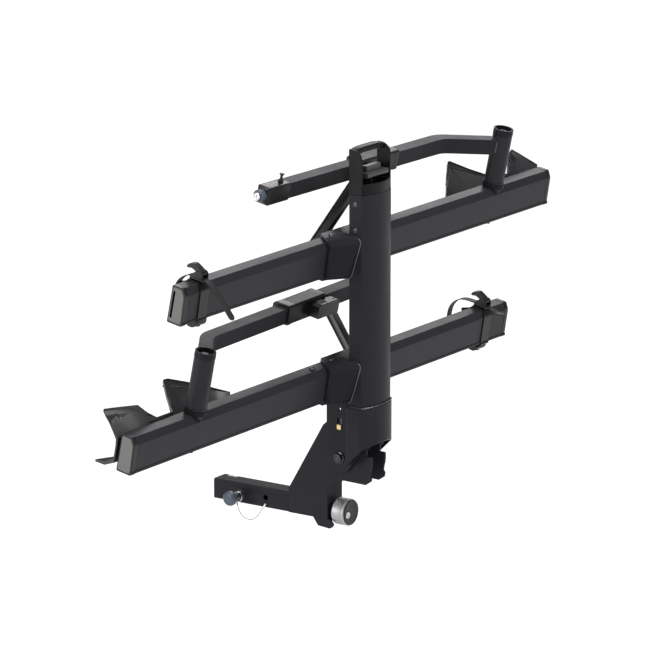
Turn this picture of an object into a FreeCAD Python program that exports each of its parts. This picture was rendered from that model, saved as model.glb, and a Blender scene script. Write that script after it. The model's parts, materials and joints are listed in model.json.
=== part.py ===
import FreeCAD, Part
import math
import os
from FreeCAD import Placement, Rotation, Vector

# Two-bike platform rack for a two inch hitch receiver, folded upright.
# Frame: origin at the centre of the hitch pin hole, +X rearwards from the vehicle,
# +Y across the vehicle, +Z up. Each wheel tray with its arm is drawn in a tray frame
# (across, along, up) that leans back from the mast; the upper tray is the mirror of the lower.

doc = FreeCAD.newDocument("hitch_bike_rack")
sheet = doc.addObject("Spreadsheet::Sheet", "sizes")

SIZES = {
    # hitch tongue and bracket
    "tongue_width": 50.8, "tongue_wall": 4.8, "tongue_corner": 5.0,
    "tongue_front": -86.0, "tongue_back": 246.0,
    "pin_hole_radius": 8.0, "tether_hole_radius": 7.0, "tether_hole_place": 67.0,
    "plate_thick": 6.0, "bracket_back": 251.4,
    "pivot_across": 293.5, "pivot_height": 139.5, "sector_radius": 84.0,
    # knob
    "knob_height": -6.0, "knob_radius": 33.0, "knob_front": 262.0, "knob_back": 297.0,
    # mast
    "mast_back": 332.0, "mast_shoulder": 369.0, "mast_bulge": 14.6, "mast_half": 62.5,
    "mast_wall": 3.0, "mast_foot": 270.0, "mast_top": 787.0, "cap_top": 900.0,
    "collar_gap": 0.0, "collar_wall": 5.5,
    "swing_plate_inner": 36.4, "swing_plate_radius": 37.0,
    "release_travel": 16.0, "lock_radius": 75.0, "lock_square": 12.0,
    # trays
    "lean": 11.5, "tray_place": 287.4, "lower_height": 336.0, "tray_spacing": 301.3,
    "tray_hub_end": 869.0, "tray_strap_end": -673.0, "tray_wall": 1.8, "cap_length": 14.0,
    "hub_place": 631.0, "hub_radius": 24.3, "hub_bottom": 55.5, "hub_top": 196.0,
    "hub_bore": 15.0, "pivot_pin_radius": 14.93,
    # arms
    "arm_width": 32.0, "arm_depth": 38.0, "arm_top": 170.0, "arm_offset": 90.0,
    "arm_slant": 32.0, "arm_bend": 80.0, "arm_wall": 2.0, "arm_end": -170.0,
    "arm_angle_lower": 1.9, "arm_angle_upper": 0.8,
    "slider_length": 157.0, "slider_start_lower": 10.0, "slider_start_upper": 124.0,
    "hook_width": 26.0, "hook_thick": 17.0,
    # straps
    "band_length": 34.0, "band_place_lower": -588.0, "band_place_upper": -612.0,
    "strap_width": 25.0, "strap_thick": 3.0,
    # wire tether
    "wire_radius": 0.9,
}
for row, (alias, value) in enumerate(SIZES.items(), start=1):
    sheet.set("A%d" % row, alias)
    sheet.set("B%d" % row, str(value))
    sheet.setAlias("B%d" % row, alias)
doc.recompute()


def size(alias):
    """A driving dimension, read from the spreadsheet."""
    return float(sheet.get(alias))


ORIGIN = Vector(0, 0, 0)
X_AXIS = Vector(1, 0, 0)
Y_AXIS = Vector(0, 1, 0)
Z_AXIS = Vector(0, 0, 1)
PARTS = []


# ---------------------------------------------------------------- helpers

def feature(label, shape, placement=None):
    """A sub-part whose shape is made with Part's own functions."""
    item = doc.addObject("Part::Feature", label)
    item.Label = label
    item.Shape = shape
    if placement is not None:
        item.Placement = placement.multiply(shape.Placement)
    PARTS.append(item)
    return item


def box(low, high):
    """A block between two corners."""
    span = [h - l for l, h in zip(low, high)]
    return Part.makeBox(span[0], span[1], span[2], Vector(*low))


def rod(radius, length, base, axis):
    return Part.makeCylinder(radius, length, Vector(*base), axis)


def ring(outer, inner, length, base, axis):
    return rod(outer, length, base, axis).cut(rod(inner, length, base, axis))


def prism(points, axis, start, end):
    """A closed outline in the plane across an axis, extruded between two places on it.

    Points are (x, z) for the Y axis, (x, y) for the Z axis and (y, z) for the X axis."""
    places = {"X": lambda a, b: Vector(start, a, b), "Y": lambda a, b: Vector(a, start, b),
              "Z": lambda a, b: Vector(a, b, start)}
    ends = {"X": X_AXIS, "Y": Y_AXIS, "Z": Z_AXIS}
    corners = [places[axis](a, b) for a, b in points]
    face = Part.Face(Part.makePolygon(corners + corners[:1]))
    return face.extrude(ends[axis] * (end - start))


def joined(shapes):
    """Touching solids as one."""
    return shapes[0].multiFuse(shapes[1:]).removeSplitter()


def rounded(shape, radius, chosen):
    """Fillet the edges that a test picks."""
    return shape.makeFillet(radius, [edge for edge in shape.Edges if chosen(edge)])


def along(edge, axis):
    """Whether an edge is straight and runs along an axis."""
    if not isinstance(edge.Curve, Part.Line):
        return False
    return abs(abs(edge.Curve.Direction.dot(axis)) - 1.0) < 1e-6


def arc_edge(centre, radius, start, end):
    """An arc about the pivot axis, in the XZ plane, from one angle in degrees to another."""
    def at(angle):
        turn = math.radians(angle)
        return Vector(centre[0] + radius * math.cos(turn), 0, centre[1] + radius * math.sin(turn))
    return Part.Arc(at(start), at((start + end) / 2.0), at(end)), at(start), at(end)


def sketch_edges(body, plane_role, name, edges):
    """A sketch on one of a body's own origin planes; its edges are Part curves in plane axes."""
    plane = [f for f in body.Origin.OriginFeatures if f.Role == plane_role][0]
    sketch = body.newObject("Sketcher::SketchObject", name)
    sketch.AttachmentSupport = [(plane, "")]
    sketch.MapMode = "FlatFace"
    for edge in edges:
        sketch.addGeometry(edge, False)
    return sketch


def polygon_edges(points):
    """Line segments round a closed outline in a sketch's own axes."""
    corners = [Vector(a, b, 0) for a, b in points]
    return [Part.LineSegment(p, q) for p, q in zip(corners, corners[1:] + corners[:1])]


def padded_body(label, plane_role, edges, length_alias, placement, pockets=()):
    """A PartDesign body: one sketch padded by a length in the sheet, then through pockets."""
    body = doc.addObject("PartDesign::Body", label)
    body.Label = label
    profile = sketch_edges(body, plane_role, label + "_outline", edges)
    pad = body.newObject("PartDesign::Pad", label + "_pad")
    pad.Profile = profile
    pad.setExpression("Length", "sizes." + length_alias)
    doc.recompute()
    for count, pocket_edges in enumerate(pockets):
        hole = sketch_edges(body, plane_role, "%s_hole%d" % (label, count), pocket_edges)
        pocket = body.newObject("PartDesign::Pocket", "%s_pocket%d" % (label, count))
        pocket.Profile = hole
        pocket.Type = "ThroughAll"
        before = body.Shape.Volume
        doc.recompute()
        if abs(body.Shape.Volume - before) < 1e-3:
            pocket.Reversed = True
            doc.recompute()
        if abs(body.Shape.Volume - before) < 1e-3:
            raise ValueError(label + ": pocket cuts nothing")
    body.Placement = placement
    PARTS.append(body)
    return body


def circle(centre, radius):
    return [Part.Circle(Vector(centre[0], centre[1], 0), Z_AXIS, radius)]


# ---------------------------------------------------------------- hitch bracket

HALF_TONGUE = size("tongue_width") / 2.0
PLATE = size("plate_thick")
PIVOT = (size("pivot_across"), size("pivot_height"))
KNOB_Z = size("knob_height")
BOLT_R = 6.0
BRACKET_BACK = size("bracket_back")


def make_tongue():
    """Square tube that slides into the receiver, with its pin holes and wedge window."""
    half = HALF_TONGUE
    front = size("tongue_front")
    back = size("tongue_back")
    outer = rounded(box((front, -half, -half), (back, half, half)), size("tongue_corner"),
                    lambda e: along(e, X_AXIS))
    inner_half = half - size("tongue_wall")
    shape = outer.cut(box((front, -inner_half, -inner_half), (back, inner_half, inner_half)))
    wide = 2 * half + 2
    for place, radius in ((0.0, size("pin_hole_radius")),
                          (size("tether_hole_place"), size("tether_hole_radius"))):
        shape = shape.cut(rod(radius, wide, (place, -half - 1, 0), Y_AXIS))
    window = box((-75.0, half - 16.0, half - 16.0), (-45.0, half + 1, half + 1))
    feature("hitch_tongue", shape.cut(window))


def bracket_outline():
    """Side plate of the fixed bracket: shank, sector with its deployed notch, and jaw."""
    px, pz = PIVOT
    radius = size("sector_radius")
    sector, first, last = arc_edge(PIVOT, radius, 112.0, 22.0)
    lower, low_first, low_last = arc_edge(PIVOT, radius, 6.5, -18.0)
    back = BRACKET_BACK
    points = [last, Vector(px + 69.5, 0, pz + 25.0), Vector(px + 68.5, 0, pz + 10.0), low_first]
    tail = [low_last, Vector(px + 79.0, 0, pz - 35.0), Vector(px + 83.0, 0, pz - 40.5),
            Vector(px + 81.5, 0, pz - 50.5), Vector(px + 67.0, 0, pz - 60.5),
            Vector(px - 3.5, 0, pz - 59.0), Vector(back, 0, 57.0), Vector(back, 0, -23.0),
            Vector(139.0, 0, -23.0), Vector(139.0, 0, 38.0), Vector(239.0, 0, 210.0),
            Vector(250.5, 0, 220.0), first]
    edges = [sector, lower]
    for run in (points, tail):
        edges += [Part.LineSegment(p, q) for p, q in zip(run, run[1:])]
    return edges


def flat(edge):
    """A curve in the XZ plane as a curve in a sketch's own X and Y axes."""
    turned = edge.copy()
    turned.rotate(Placement(ORIGIN, X_AXIS, -90))
    return turned


def make_bracket():
    """Side plates, closing plate and foot that carry the pivot behind the tongue."""
    outline = [flat(edge) for edge in bracket_outline()]
    hole = circle(PIVOT, BOLT_R + 0.05)
    for label, top in (("hitch_plate_near", -HALF_TONGUE), ("hitch_plate_far", HALF_TONGUE + PLATE)):
        padded_body(label, "XZ_Plane", outline, "plate_thick",
                    Placement(Vector(0, top, 0), Rotation()), [hole])
    half = HALF_TONGUE
    closing = box((size("tongue_back"), -half, -23.0), (BRACKET_BACK, half, 74.0))
    closing = closing.cut(rod(7.0, 20, (size("tongue_back") - 5, 0, KNOB_Z), X_AXIS))
    feature("bracket_rear_plate", closing)
    side = [(209.7, -23.0), (224.0, -42.5), (257.5, -45.5), (265.0, -41.0), (268.5, -34.0),
            (259.5, -23.5), (259.5, -23.0)]
    outer = half + PLATE
    foot = prism(side, "Y", -outer, -outer + 5.0)
    foot = foot.fuse(prism(side, "Y", outer - 5.0, outer))
    foot = foot.fuse(box((214.0, -outer, -28.0), (258.0, outer, -23.05)))
    feature("bracket_foot", foot.cut(box((200, -half - 0.1, -25.6), (300, half + 0.1, 0))).removeSplitter())


def make_pivot():
    """Pivot bolt through all four plates, its sleeve, spacer washers and nut."""
    px, pz = PIVOT
    fixed = HALF_TONGUE + PLATE
    swing_in = size("swing_plate_inner")
    swing_out = swing_in + PLATE
    shank = rod(BOLT_R, 2 * swing_out + 22, (px, -swing_out - 3, pz), Y_AXIS)
    head = prism([(px + 10.5 * math.cos(math.radians(60 * k)), pz + 10.5 * math.sin(math.radians(60 * k)))
                  for k in range(6)], "Y", -swing_out - 10.5, -swing_out - 2.6)
    pieces = [joined([shank, head])]
    for sign in (-1, 1):
        gap_low = fixed + 0.1 if sign > 0 else -swing_in + 0.1
        pieces.append(ring(13.0, BOLT_R + 0.05, swing_in - fixed - 0.2, (px, gap_low, pz), Y_AXIS))
        washer_low = swing_out + 0.1 if sign > 0 else -swing_out - 2.5
        pieces.append(ring(12.5, BOLT_R + 0.05, 2.4, (px, washer_low, pz), Y_AXIS))
    pieces.append(ring(9.0, BOLT_R + 0.05, 2 * HALF_TONGUE - 0.2, (px, -HALF_TONGUE + 0.1, pz), Y_AXIS))
    nut = prism([(px + 10.5 * math.cos(math.radians(60 * k)), pz + 10.5 * math.sin(math.radians(60 * k)))
                 for k in range(6)], "Y", swing_out + 2.6, swing_out + 12.6)
    pieces.append(nut.cut(rod(BOLT_R, 30, (px, swing_out, pz), Y_AXIS)))
    feature("pivot_hardware", Part.makeCompound(pieces))


def make_knob():
    """Tightening knob, its draw rod in the tongue and the wedge that it drives."""
    front = size("knob_front")
    back = size("knob_back")
    radius = size("knob_radius")
    body = ring(radius, 26.0, back - front, (front, 0, KNOB_Z), X_AXIS)
    web = ring(26.0, 5.05, 8.0, (front + 6, 0, KNOB_Z), X_AXIS)
    feature("knob_ring", joined([body, web]))
    core_at = (back - 6.0, -15.5, KNOB_Z - 3.0)
    cap = rod(26.0, 9.0, (back - 7.0, 0, KNOB_Z), X_AXIS)
    cap = cap.fuse(rod(31.0, 3.0, (back + 0.02, 0, KNOB_Z), X_AXIS))
    feature("knob_cap", cap.cut(rod(8.6, 12.0, core_at, X_AXIS)).removeSplitter())
    feature("knob_lock_core", rod(8.5, 10.2, core_at, X_AXIS))
    shaft = rod(5.0, front + 14.0 - 22.0, (22.0, 0, KNOB_Z), X_AXIS)
    collar = rod(11.0, 6.0, (BRACKET_BACK, 0, KNOB_Z), X_AXIS)
    crank = box((18.0, -5.0, KNOB_Z - 5.0), (24.0, 5.0, 17.0))
    bar = box((-55.0, -5.0, 11.0), (24.0, 5.0, 17.0))
    feature("tension_rod", joined([shaft, collar, crank, bar]))
    low = HALF_TONGUE - 15.0
    high = HALF_TONGUE - 0.4
    wedge = prism([(low, low), (high, low), (high, high - 4), (high - 4, high), (low, high)],
                  "X", -73.0, -47.0)
    feature("anti_rattle_wedge", wedge)


# the tether's route: from the pin's ring, down in a slack loop and up to the second hole
TETHER_Y = -47.0
TETHER_ROUTE = [(-3.0, -19.0), (2.5, -37.0), (12.5, -50.0), (27.0, -57.5),
                (43.0, -54.5), (55.0, -42.5), (63.0, -27.0)]
TETHER_END_Y = -33.0


def tube_along(points, radius):
    """A round cord of straight runs joined by tangent arcs; also its turn radii."""
    edges = []
    radii = []
    start = points[0]
    for before, corner, after in zip(points, points[1:], points[2:]):
        run_in = (corner - before).Length
        run_out = (after - corner).Length
        turn = (corner - before).getAngle(after - corner)
        reach = 0.45 * min(run_in, run_out)
        inward = corner - (corner - before).normalize() * reach
        outward = corner + (after - corner).normalize() * reach
        bend = reach / math.tan(turn / 2.0)
        radii.append(bend)
        to_centre = (inward + outward) * 0.5 - corner
        middle = corner + to_centre.normalize() * (bend / math.cos(turn / 2.0) - bend)
        edges.append(Part.LineSegment(start, inward).toShape())
        edges.append(Part.Arc(inward, middle, outward).toShape())
        start = outward
    edges.append(Part.LineSegment(start, points[-1]).toShape())
    path = Part.Wire(edges)
    direction = points[1] - points[0]
    section = Part.Wire(Part.makeCircle(radius, points[0], direction))
    tube = path.makePipeShell([section], True, True)
    expected = math.pi * radius ** 2 * path.Length
    if abs(tube.Volume - expected) > 0.02 * expected:
        raise ValueError("tube volume %.2f, expected %.2f" % (tube.Volume, expected))
    print("cord length %.1f, radii %s" % (path.Length, [round(r, 1) for r in radii]))
    return tube


def tether_points():
    count = len(TETHER_ROUTE) - 1
    reach = TETHER_END_Y - TETHER_Y
    return [Vector(x, TETHER_Y + reach * (k / count) ** 2, z)
            for k, (x, z) in enumerate(TETHER_ROUTE)]


def make_pin():
    """Hitch pin with its locking head, and the wire that keeps it with the rack."""
    neck_y = -71.0
    shank = rod(size("pin_hole_radius") - 0.06, 26.4 - neck_y, (0, neck_y, 0), Y_AXIS)
    tip = Part.makeCone(7.0, 4.6, 5.0, Vector(0, 45.0, 0), Y_AXIS)
    free_end = rod(7.0, 45.0 - 26.4, (0, 26.4, 0), Y_AXIS)
    flange = rod(12.5, 4.0, (0, -41.0, 0), Y_AXIS)
    feature("hitch_pin", joined([shank, free_end, tip, flange]))
    head = rounded(rod(18.5, 14.0, (0, -89.0, 0), Y_AXIS), 6.0,
                   lambda e: abs(e.BoundBox.YMin + 89.0) < 0.01)
    skirt = Part.makeCone(18.5, 10.0, 16.0, Vector(0, -75.0, 0), Y_AXIS)
    head = joined([head, skirt]).cut(rod(size("pin_hole_radius") - 0.06, 60, (0, neck_y, 0), Y_AXIS))
    feature("pin_head", head)
    feature("pin_tether", tube_along(tether_points(), size("wire_radius")))
    # a loose ring round the neck, and the crimped sleeves at the wire's two ends
    feature("tether_ring", Part.makeTorus(12.0, 1.1, Vector(0, TETHER_Y, -2.7), Y_AXIS))
    sleeves = []
    points = tether_points()
    bore = size("wire_radius") + 0.02
    for end, inward, radius, length in ((points[0], points[1], 2.2, 8.0), (points[-1], points[-2], 2.6, 16.0)):
        heading = (inward - end).normalize()
        reach = 2.0 if radius < 2.5 else length - 1.0
        sleeve = rod(radius, length, tuple(end - heading * reach), heading)
        sleeves.append(sleeve.cut(rod(bore, 30.0, tuple(end), heading)))
    feature("tether_sleeves", Part.makeCompound(sleeves))


# ---------------------------------------------------------------- mast

MAST_BACK = size("mast_back")
MAST_HALF = size("mast_half")
SHOULDER = size("mast_shoulder")


def mast_section(grow, height):
    """Closed wire of the mast's D section, grown or shrunk by an amount."""
    back = MAST_BACK - grow
    half = MAST_HALF + grow
    shoulder = SHOULDER
    nose = SHOULDER + size("mast_bulge") + grow
    points = [Vector(back, -half, height), Vector(shoulder, -half, height),
              Vector(nose, 0, height), Vector(shoulder, half, height), Vector(back, half, height)]
    edges = [Part.LineSegment(points[0], points[1]).toShape(),
             Part.Arc(points[1], points[2], points[3]).toShape(),
             Part.LineSegment(points[3], points[4]).toShape(),
             Part.LineSegment(points[4], points[0]).toShape()]
    return Part.Wire(edges)


def d_prism(grow, low, high, corner=0.0):
    """A D section extruded up, with its standing corners rounded."""
    solid = Part.Face(mast_section(grow, low)).extrude(Z_AXIS * (high - low))
    if corner > 0:
        solid = rounded(solid, corner, lambda e: along(e, Z_AXIS))
    return solid


ROD_X = 352.0
ROD_R = 4.0
FRAME_BOLTS = [(351.0, 765.0), (351.0, 702.0)]


def make_mast():
    """Upright tube, foot plate, collar and the two swinging side plates."""
    foot = size("mast_foot")
    top = size("mast_top")
    wall = size("mast_wall")
    tube = d_prism(0, foot, top, 4.0).cut(d_prism(-wall, foot - 1, top + 1, 3.0))
    for x, z in FRAME_BOLTS:
        tube = tube.cut(rod(4.3, 200, (x, -100, z), Y_AXIS))
    feature("mast_tube", tube)
    plate = d_prism(0, foot - 6.0, foot, 4.0).cut(rod(6.0, 20, (ROD_X, 0, foot - 10), Z_AXIS))
    feature("mast_foot_plate", plate)
    gap = size("collar_gap")
    collar = d_prism(gap + size("collar_wall"), 120.0, foot + 3.0, 6.0)
    collar = collar.cut(d_prism(gap, 119.0, foot + 4.0, 4.0))
    slope = [(300.0, 100.0), (331.0, 132.0), (369.0, 170.0), (386.0, 183.0), (420.0, 203.0),
             (420.0, 60.0), (300.0, 60.0)]
    collar = collar.cut(prism(slope, "Y", -90, 90))
    collar = collar.cut(box((300, -swing_outer() - 0.1, 100), (MAST_BACK + 6, swing_outer() + 0.1, 290)))
    feature("mast_collar", collar)
    px, pz = PIVOT
    radius = size("swing_plate_radius")
    turn = math.radians
    arc = Part.Arc(Vector(px - radius, pz, 0),
                   Vector(px + radius * math.cos(turn(250)), pz + radius * math.sin(turn(250)), 0),
                   Vector(px + radius * math.cos(turn(310)), pz + radius * math.sin(turn(310)), 0))
    corner = arc.EndPoint
    run = [corner, Vector(352.0, 158.0, 0), Vector(352.0, foot - 6.0, 0), Vector(MAST_BACK - 0.1, foot - 6.0, 0),
           Vector(MAST_BACK - 0.1, 279.5, 0), Vector(px - radius, 279.5, 0), arc.StartPoint]
    outline = [arc] + [Part.LineSegment(p, q) for p, q in zip(run, run[1:])]
    half_slot = size("lock_square") / 2.0 + 0.5
    slot_low = pz + size("lock_radius") - half_slot - 0.5
    slot_high = slot_low + 2 * half_slot + size("release_travel") + 1.0
    slot = polygon_edges([(px - half_slot, slot_low), (px + half_slot, slot_low),
                          (px + half_slot, slot_high), (px - half_slot, slot_high)])
    holes = [slot, circle(PIVOT, BOLT_R + 0.05)]
    gauge_hole = [circle((px + 0.5, pz + 119.0), 3.5)]
    inner = size("swing_plate_inner")
    for label, high, more in (("mast_plate_near", -inner, gauge_hole), ("mast_plate_far", inner + PLATE, [])):
        padded_body(label, "XZ_Plane", outline, "plate_thick",
                    Placement(Vector(0, high, 0), Rotation()), holes + more)


def swing_outer():
    return size("swing_plate_inner") + PLATE


def make_release():
    """Squeeze handle, rod and lock bar that free the mast, with the return spring."""
    px, pz = PIVOT
    half = size("lock_square") / 2.0
    centre = pz + size("lock_radius")
    fixed = HALF_TONGUE + PLATE
    inner = size("swing_plate_inner")
    cross_low = pz + 88.0
    cross_high = pz + 99.0
    pieces = [box((px - half, -inner + 0.5, cross_low), (px + half, inner - 0.5, cross_high))]
    for sign in (-1, 1):
        leg = sorted((sign * (fixed + 0.5), sign * (inner - 0.5)))
        end = sorted((sign * (fixed + 0.5), sign * (swing_outer() + 3.5)))
        pieces.append(box((px - half, leg[0], centre - half), (px + half, leg[1], cross_high)))
        pieces.append(box((px - half, end[0], centre - half), (px + half, end[1], centre + half)))
    link = box((px - half, -8.0, cross_high), (ROD_X + 8.0, 8.0, cross_high + 8.0))
    feature("lock_bar", joined(pieces + [link]))
    rod_low = cross_high + 8.0
    rod_high = 826.0
    stop = rod(9.0, 5.0, (ROD_X, 0, 300.0), Z_AXIS)
    feature("release_rod", joined([rod(ROD_R, rod_high - rod_low, (ROD_X, 0, rod_low), Z_AXIS), stop]))
    spring = ring(8.5, 6.0, 49.6, (ROD_X, 0, 305.2), Z_AXIS)
    feature("lock_spring", spring)
    seat = d_prism(-size("mast_wall"), 355.0, 360.0, 3.0)
    feature("spring_seat", seat.cut(rod(5.0, 20, (ROD_X, 0, 350), Z_AXIS)))
    bar = box((346.0, -44.0, rod_high), (374.0, 44.0, rod_high + 12.0))
    bar = rounded(bar, 4.0, lambda e: along(e, Y_AXIS))
    grip = rounded(box((347.0, -30.0, rod_high + 12.0), (362.0, 30.0, rod_high + 26.0)), 3.0,
                   lambda e: along(e, Z_AXIS))
    feature("pull_handle", joined([bar, grip]))


def make_mast_cap():
    """Moulded handle that closes the mast, open to the rear for the squeeze handle."""
    low = size("mast_top")
    high = size("cap_top")
    cap = d_prism(-0.3, low, high, 4.0)
    shoulders = prism([(-MAST_HALF - 1, low - 1), (-MAST_HALF - 1, high - 34), (-MAST_HALF + 4, high - 20),
                       (-MAST_HALF + 15, high - 9), (-MAST_HALF + 32, high - 2), (-14, high),
                       (14, high), (MAST_HALF - 32, high - 2), (MAST_HALF - 15, high - 9),
                       (MAST_HALF - 4, high - 20), (MAST_HALF + 1, high - 34), (MAST_HALF + 1, low - 1)],
                      "X", 300, 420)
    cap = cap.common(shoulders)
    nose = [(300.0, low - 1), (300.0, high + 1), (MAST_BACK + 12, high + 1), (SHOULDER, high - 8.0),
            (SHOULDER + 20.0, high - 22.0), (SHOULDER + 20.0, low - 1)]
    cap = cap.common(prism(nose, "Y", -90, 90))
    window = prism([(-50, low + 26), (-50, high - 42), (-42, high - 28), (-28, high - 21), (28, high - 21),
                    (42, high - 28), (50, high - 42), (50, low + 26)], "X", MAST_BACK + 7.0, 420)
    cap = cap.cut(window).cut(rod(6.0, 60, (ROD_X, 0, low - 1), Z_AXIS))
    spigot = d_prism(-size("mast_wall"), low - 34.0, low, 3.0)
    hollow = d_prism(-size("mast_wall") - 4.0, low - 35.0, low - 4.0, 2.0)
    spigot = spigot.cut(hollow).cut(rod(6.0, 60, (ROD_X, 0, low - 40), Z_AXIS))
    spigot = spigot.cut(rod(3.6, 200, (FRAME_BOLTS[0][0], -100, FRAME_BOLTS[0][1]), Y_AXIS))
    feature("mast_cap", joined([cap, spigot]))


# ---------------------------------------------------------------- trays and arms

LEAN = size("lean")
HUB = size("hub_place")
SIDES = {"lower": -1, "upper": 1}
TRAY_PROFILE = [(-20.0, 44.0), (8.0, 44.0), (17.0, 27.0), (19.5, -34.0), (22.0, -36.5),
                (22.0, -40.5), (16.0, -44.0), (-20.0, -44.0)]


def tray_frame(side):
    """Placement of a tray's own frame: across, along and up, leaning with the tray."""
    height = size("lower_height") + (size("tray_spacing") if side == "upper" else 0.0)
    return Placement(Vector(size("tray_place"), 0, height), Rotation(Y_AXIS, LEAN))


def arm_frame(side):
    """The tray frame turned about the arm's pivot by the angle at which the arm rests."""
    sign = SIDES[side]
    angle = -sign * size("arm_angle_" + side)
    about = Placement(ORIGIN, Rotation(Z_AXIS, angle), Vector(0, sign * HUB, 0))
    return tray_frame(side).multiply(about)


def handed(side, shape):
    """The upper tray's shape, or its mirror for the lower tray."""
    if SIDES[side] > 0:
        return shape
    return shape.mirror(ORIGIN, Y_AXIS)


def tray_outline(grow, place):
    """The tray's section as a wire at a place along it, grown outwards."""
    corners = [Vector(a, place, b) for a, b in TRAY_PROFILE]
    wire = Part.makePolygon(corners + corners[:1])
    if grow:
        wire = wire.makeOffset2D(grow, 2)
    return wire


def tray_prism(grow, start, end):
    return Part.Face(tray_outline(grow, start)).extrude(Y_AXIS * (end - start))


def make_tray(side):
    """One tray: extruded beam, end caps, mast socket, wheel cradle, arm base and pivot pin."""
    frame = tray_frame(side)
    start = size("tray_strap_end")
    end = size("tray_hub_end")
    stud = rod(6.1, 140, (0, HUB, -70), Z_AXIS)
    beam = tray_prism(0, start, end).cut(tray_prism(-size("tray_wall"), start - 1, end + 1)).cut(stud)
    feature("tray_beam_" + side, handed(side, beam), frame)

    length = size("cap_length")
    caps = []
    for face, inward in ((end, -1), (start, 1)):
        low, high = sorted((face, face - inward * length))
        rim = tray_prism(0.8, low, high)
        plug_low, plug_high = sorted((face, face + inward * 22.0))
        plug = tray_prism(-size("tray_wall") - 0.2, plug_low, plug_high)
        plug = plug.cut(tray_prism(-size("tray_wall") - 3.0, plug_low - 1, plug_high + 1))
        cap = joined([rim, plug])
        outside = face - inward * length
        slot = box((-15.0, min(outside, outside + inward * 9), -32.0),
                   (-9.5, max(outside, outside + inward * 9), 32.0))
        caps.append(cap.cut(slot))
    feature("tray_end_caps_" + side, handed(side, Part.makeCompound(caps)), frame)

    base = joined([ring(27.0, size("hub_bore"), 11.0, (0, HUB, 44.0), Z_AXIS),
                   prism([(8.0, 44.0), (26.0, 50.0), (24.0, 40.0), (18.2, 27.5)], "Y", HUB - 18, HUB + 18)])
    base = base.cut(tray_prism(0, HUB - 60, HUB + 60)).cut(rod(size("hub_bore"), 60, (0, HUB, 20), Z_AXIS))
    pin = joined([rod(size("pivot_pin_radius"), 140.0, (0, HUB, 44.0), Z_AXIS),
                  rod(20.0, 4.0, (0, HUB, 184.0), Z_AXIS), rod(9.0, 4.0, (0, HUB, 188.0), Z_AXIS),
                  rod(6.0, 97.0, (0, HUB, -52.0), Z_AXIS), rod(11.0, 8.0, (0, HUB, -52.0), Z_AXIS)])
    return placed(side, base, frame), placed(side, pin, frame)


def placed(side, shape, frame):
    """A handed shape moved out of its tray frame, for parts that share one label."""
    shape = handed(side, shape)
    shape.Placement = frame.multiply(shape.Placement)
    return shape


# wheel cradle stations: place along the tray, lip across, upper lip, lower lip, floor across
CRADLE_OUTER = {"lower": [(883.0, -80.0, 84.0, -45.0, -30.0), (791.0, -52.0, 82.0, -45.0, -26.0)],
                "upper": [(883.0, -28.0, 48.0, -46.0, -22.0), (818.0, -76.0, 86.0, -45.0, -28.0),
                          (775.0, -56.0, 82.0, -45.0, -25.0)]}
CRADLE = [(742.0, -27.0, 49.0, -46.0, -22.0), (682.0, -27.0, 49.0, -46.0, -22.0),
          (640.0, -80.0, 62.0, -45.0, -28.0), (600.0, -121.0, 79.0, -45.0, -44.0),
          (520.0, -72.0, 64.0, -45.0, -34.0), (458.0, -26.0, 47.0, -46.0, -22.0)]
CRADLE_WALL = 4.0


def cradle_section(station):
    """Closed V section of the cradle at one station along the tray."""
    place, lip, high, low, floor = station
    inner = 20.0
    back = floor + 2.0
    points = [(lip, high), (lip, high - CRADLE_WALL), (floor - 2.0, inner), (floor - 2.0, -inner),
              (lip, low + CRADLE_WALL), (lip, low), (back, -inner - 5.0), (back, inner + 5.0)]
    corners = [Vector(a, place, b) for a, b in points]
    return Part.makePolygon(corners + corners[:1])


def make_cradle(side):
    solid = Part.makeLoft([cradle_section(s) for s in CRADLE_OUTER[side] + CRADLE], True, True)
    solid = solid.cut(tray_prism(0.8, 860, 900))
    feature("wheel_cradle_" + side, handed(side, solid), tray_frame(side))


def make_socket(side):
    """Welded sleeve that carries the tray behind the mast and flares onto its near side."""
    frame = tray_frame(side)
    sleeve_end = 118.0
    sleeve = tray_prism(6.0, -sleeve_end, sleeve_end).cut(tray_prism(0, -sleeve_end - 1, sleeve_end + 1))
    if SIDES[side] < 0:
        sleeve = sleeve.mirror(ORIGIN, Y_AXIS)
    corner = [(10.0, -sleeve_end - 1), (-40.0, -sleeve_end - 1), (-40.0, -sleeve_end + 40.0)]
    sleeve = sleeve.cut(prism(corner, "Z", -80, 80))
    sleeve = sleeve.transformGeometry(frame.toMatrix())
    height = frame.Base.z
    flare = []
    for place, back, high_x, low_x, rise in ((-sleeve_end + 2, 284.0, 318.0, 299.0, 46.0),
                                             (-MAST_HALF - 0.1, 300.0, 366.0, 338.0, 55.0)):
        top = height + rise
        low = height - 52.0
        points = [(back + 12.0, top + 3.0), (high_x - 9.0, top), (high_x, top - 15.0), (low_x, low + 8.0),
                  (low_x - 8.0, low), (back, low + 2.0)]
        corners = [Vector(a, place, b) for a, b in points]
        flare.append(Part.makePolygon(corners + corners[:1]))
    wedge = Part.makeLoft(flare, True, True)
    hollow = Part.makeLoft([outline.makeOffset2D(-5.0, 2) for outline in flare], True, True)
    wedge = wedge.cut(hollow)
    pad = box((300.0, -MAST_HALF - 0.1, height - 50.0), (MAST_BACK - 0.1, MAST_HALF - 4.0, height + 46.0))
    clear = tray_prism(0, -400, 400)
    if SIDES[side] < 0:
        clear = clear.mirror(ORIGIN, Y_AXIS)
    clear = clear.transformGeometry(frame.toMatrix())
    socket = joined([sleeve, wedge, pad]).cut(clear)
    socket = socket.cut(d_prism(0, height - 100, height + 100, 4.0))
    socket = socket.cut(rod(4.2, 80, tuple(frame.multVec(Vector(-2, -78, 30))), frame.Rotation.multVec(Z_AXIS)))
    feature("tray_socket_" + side, socket)


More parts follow.
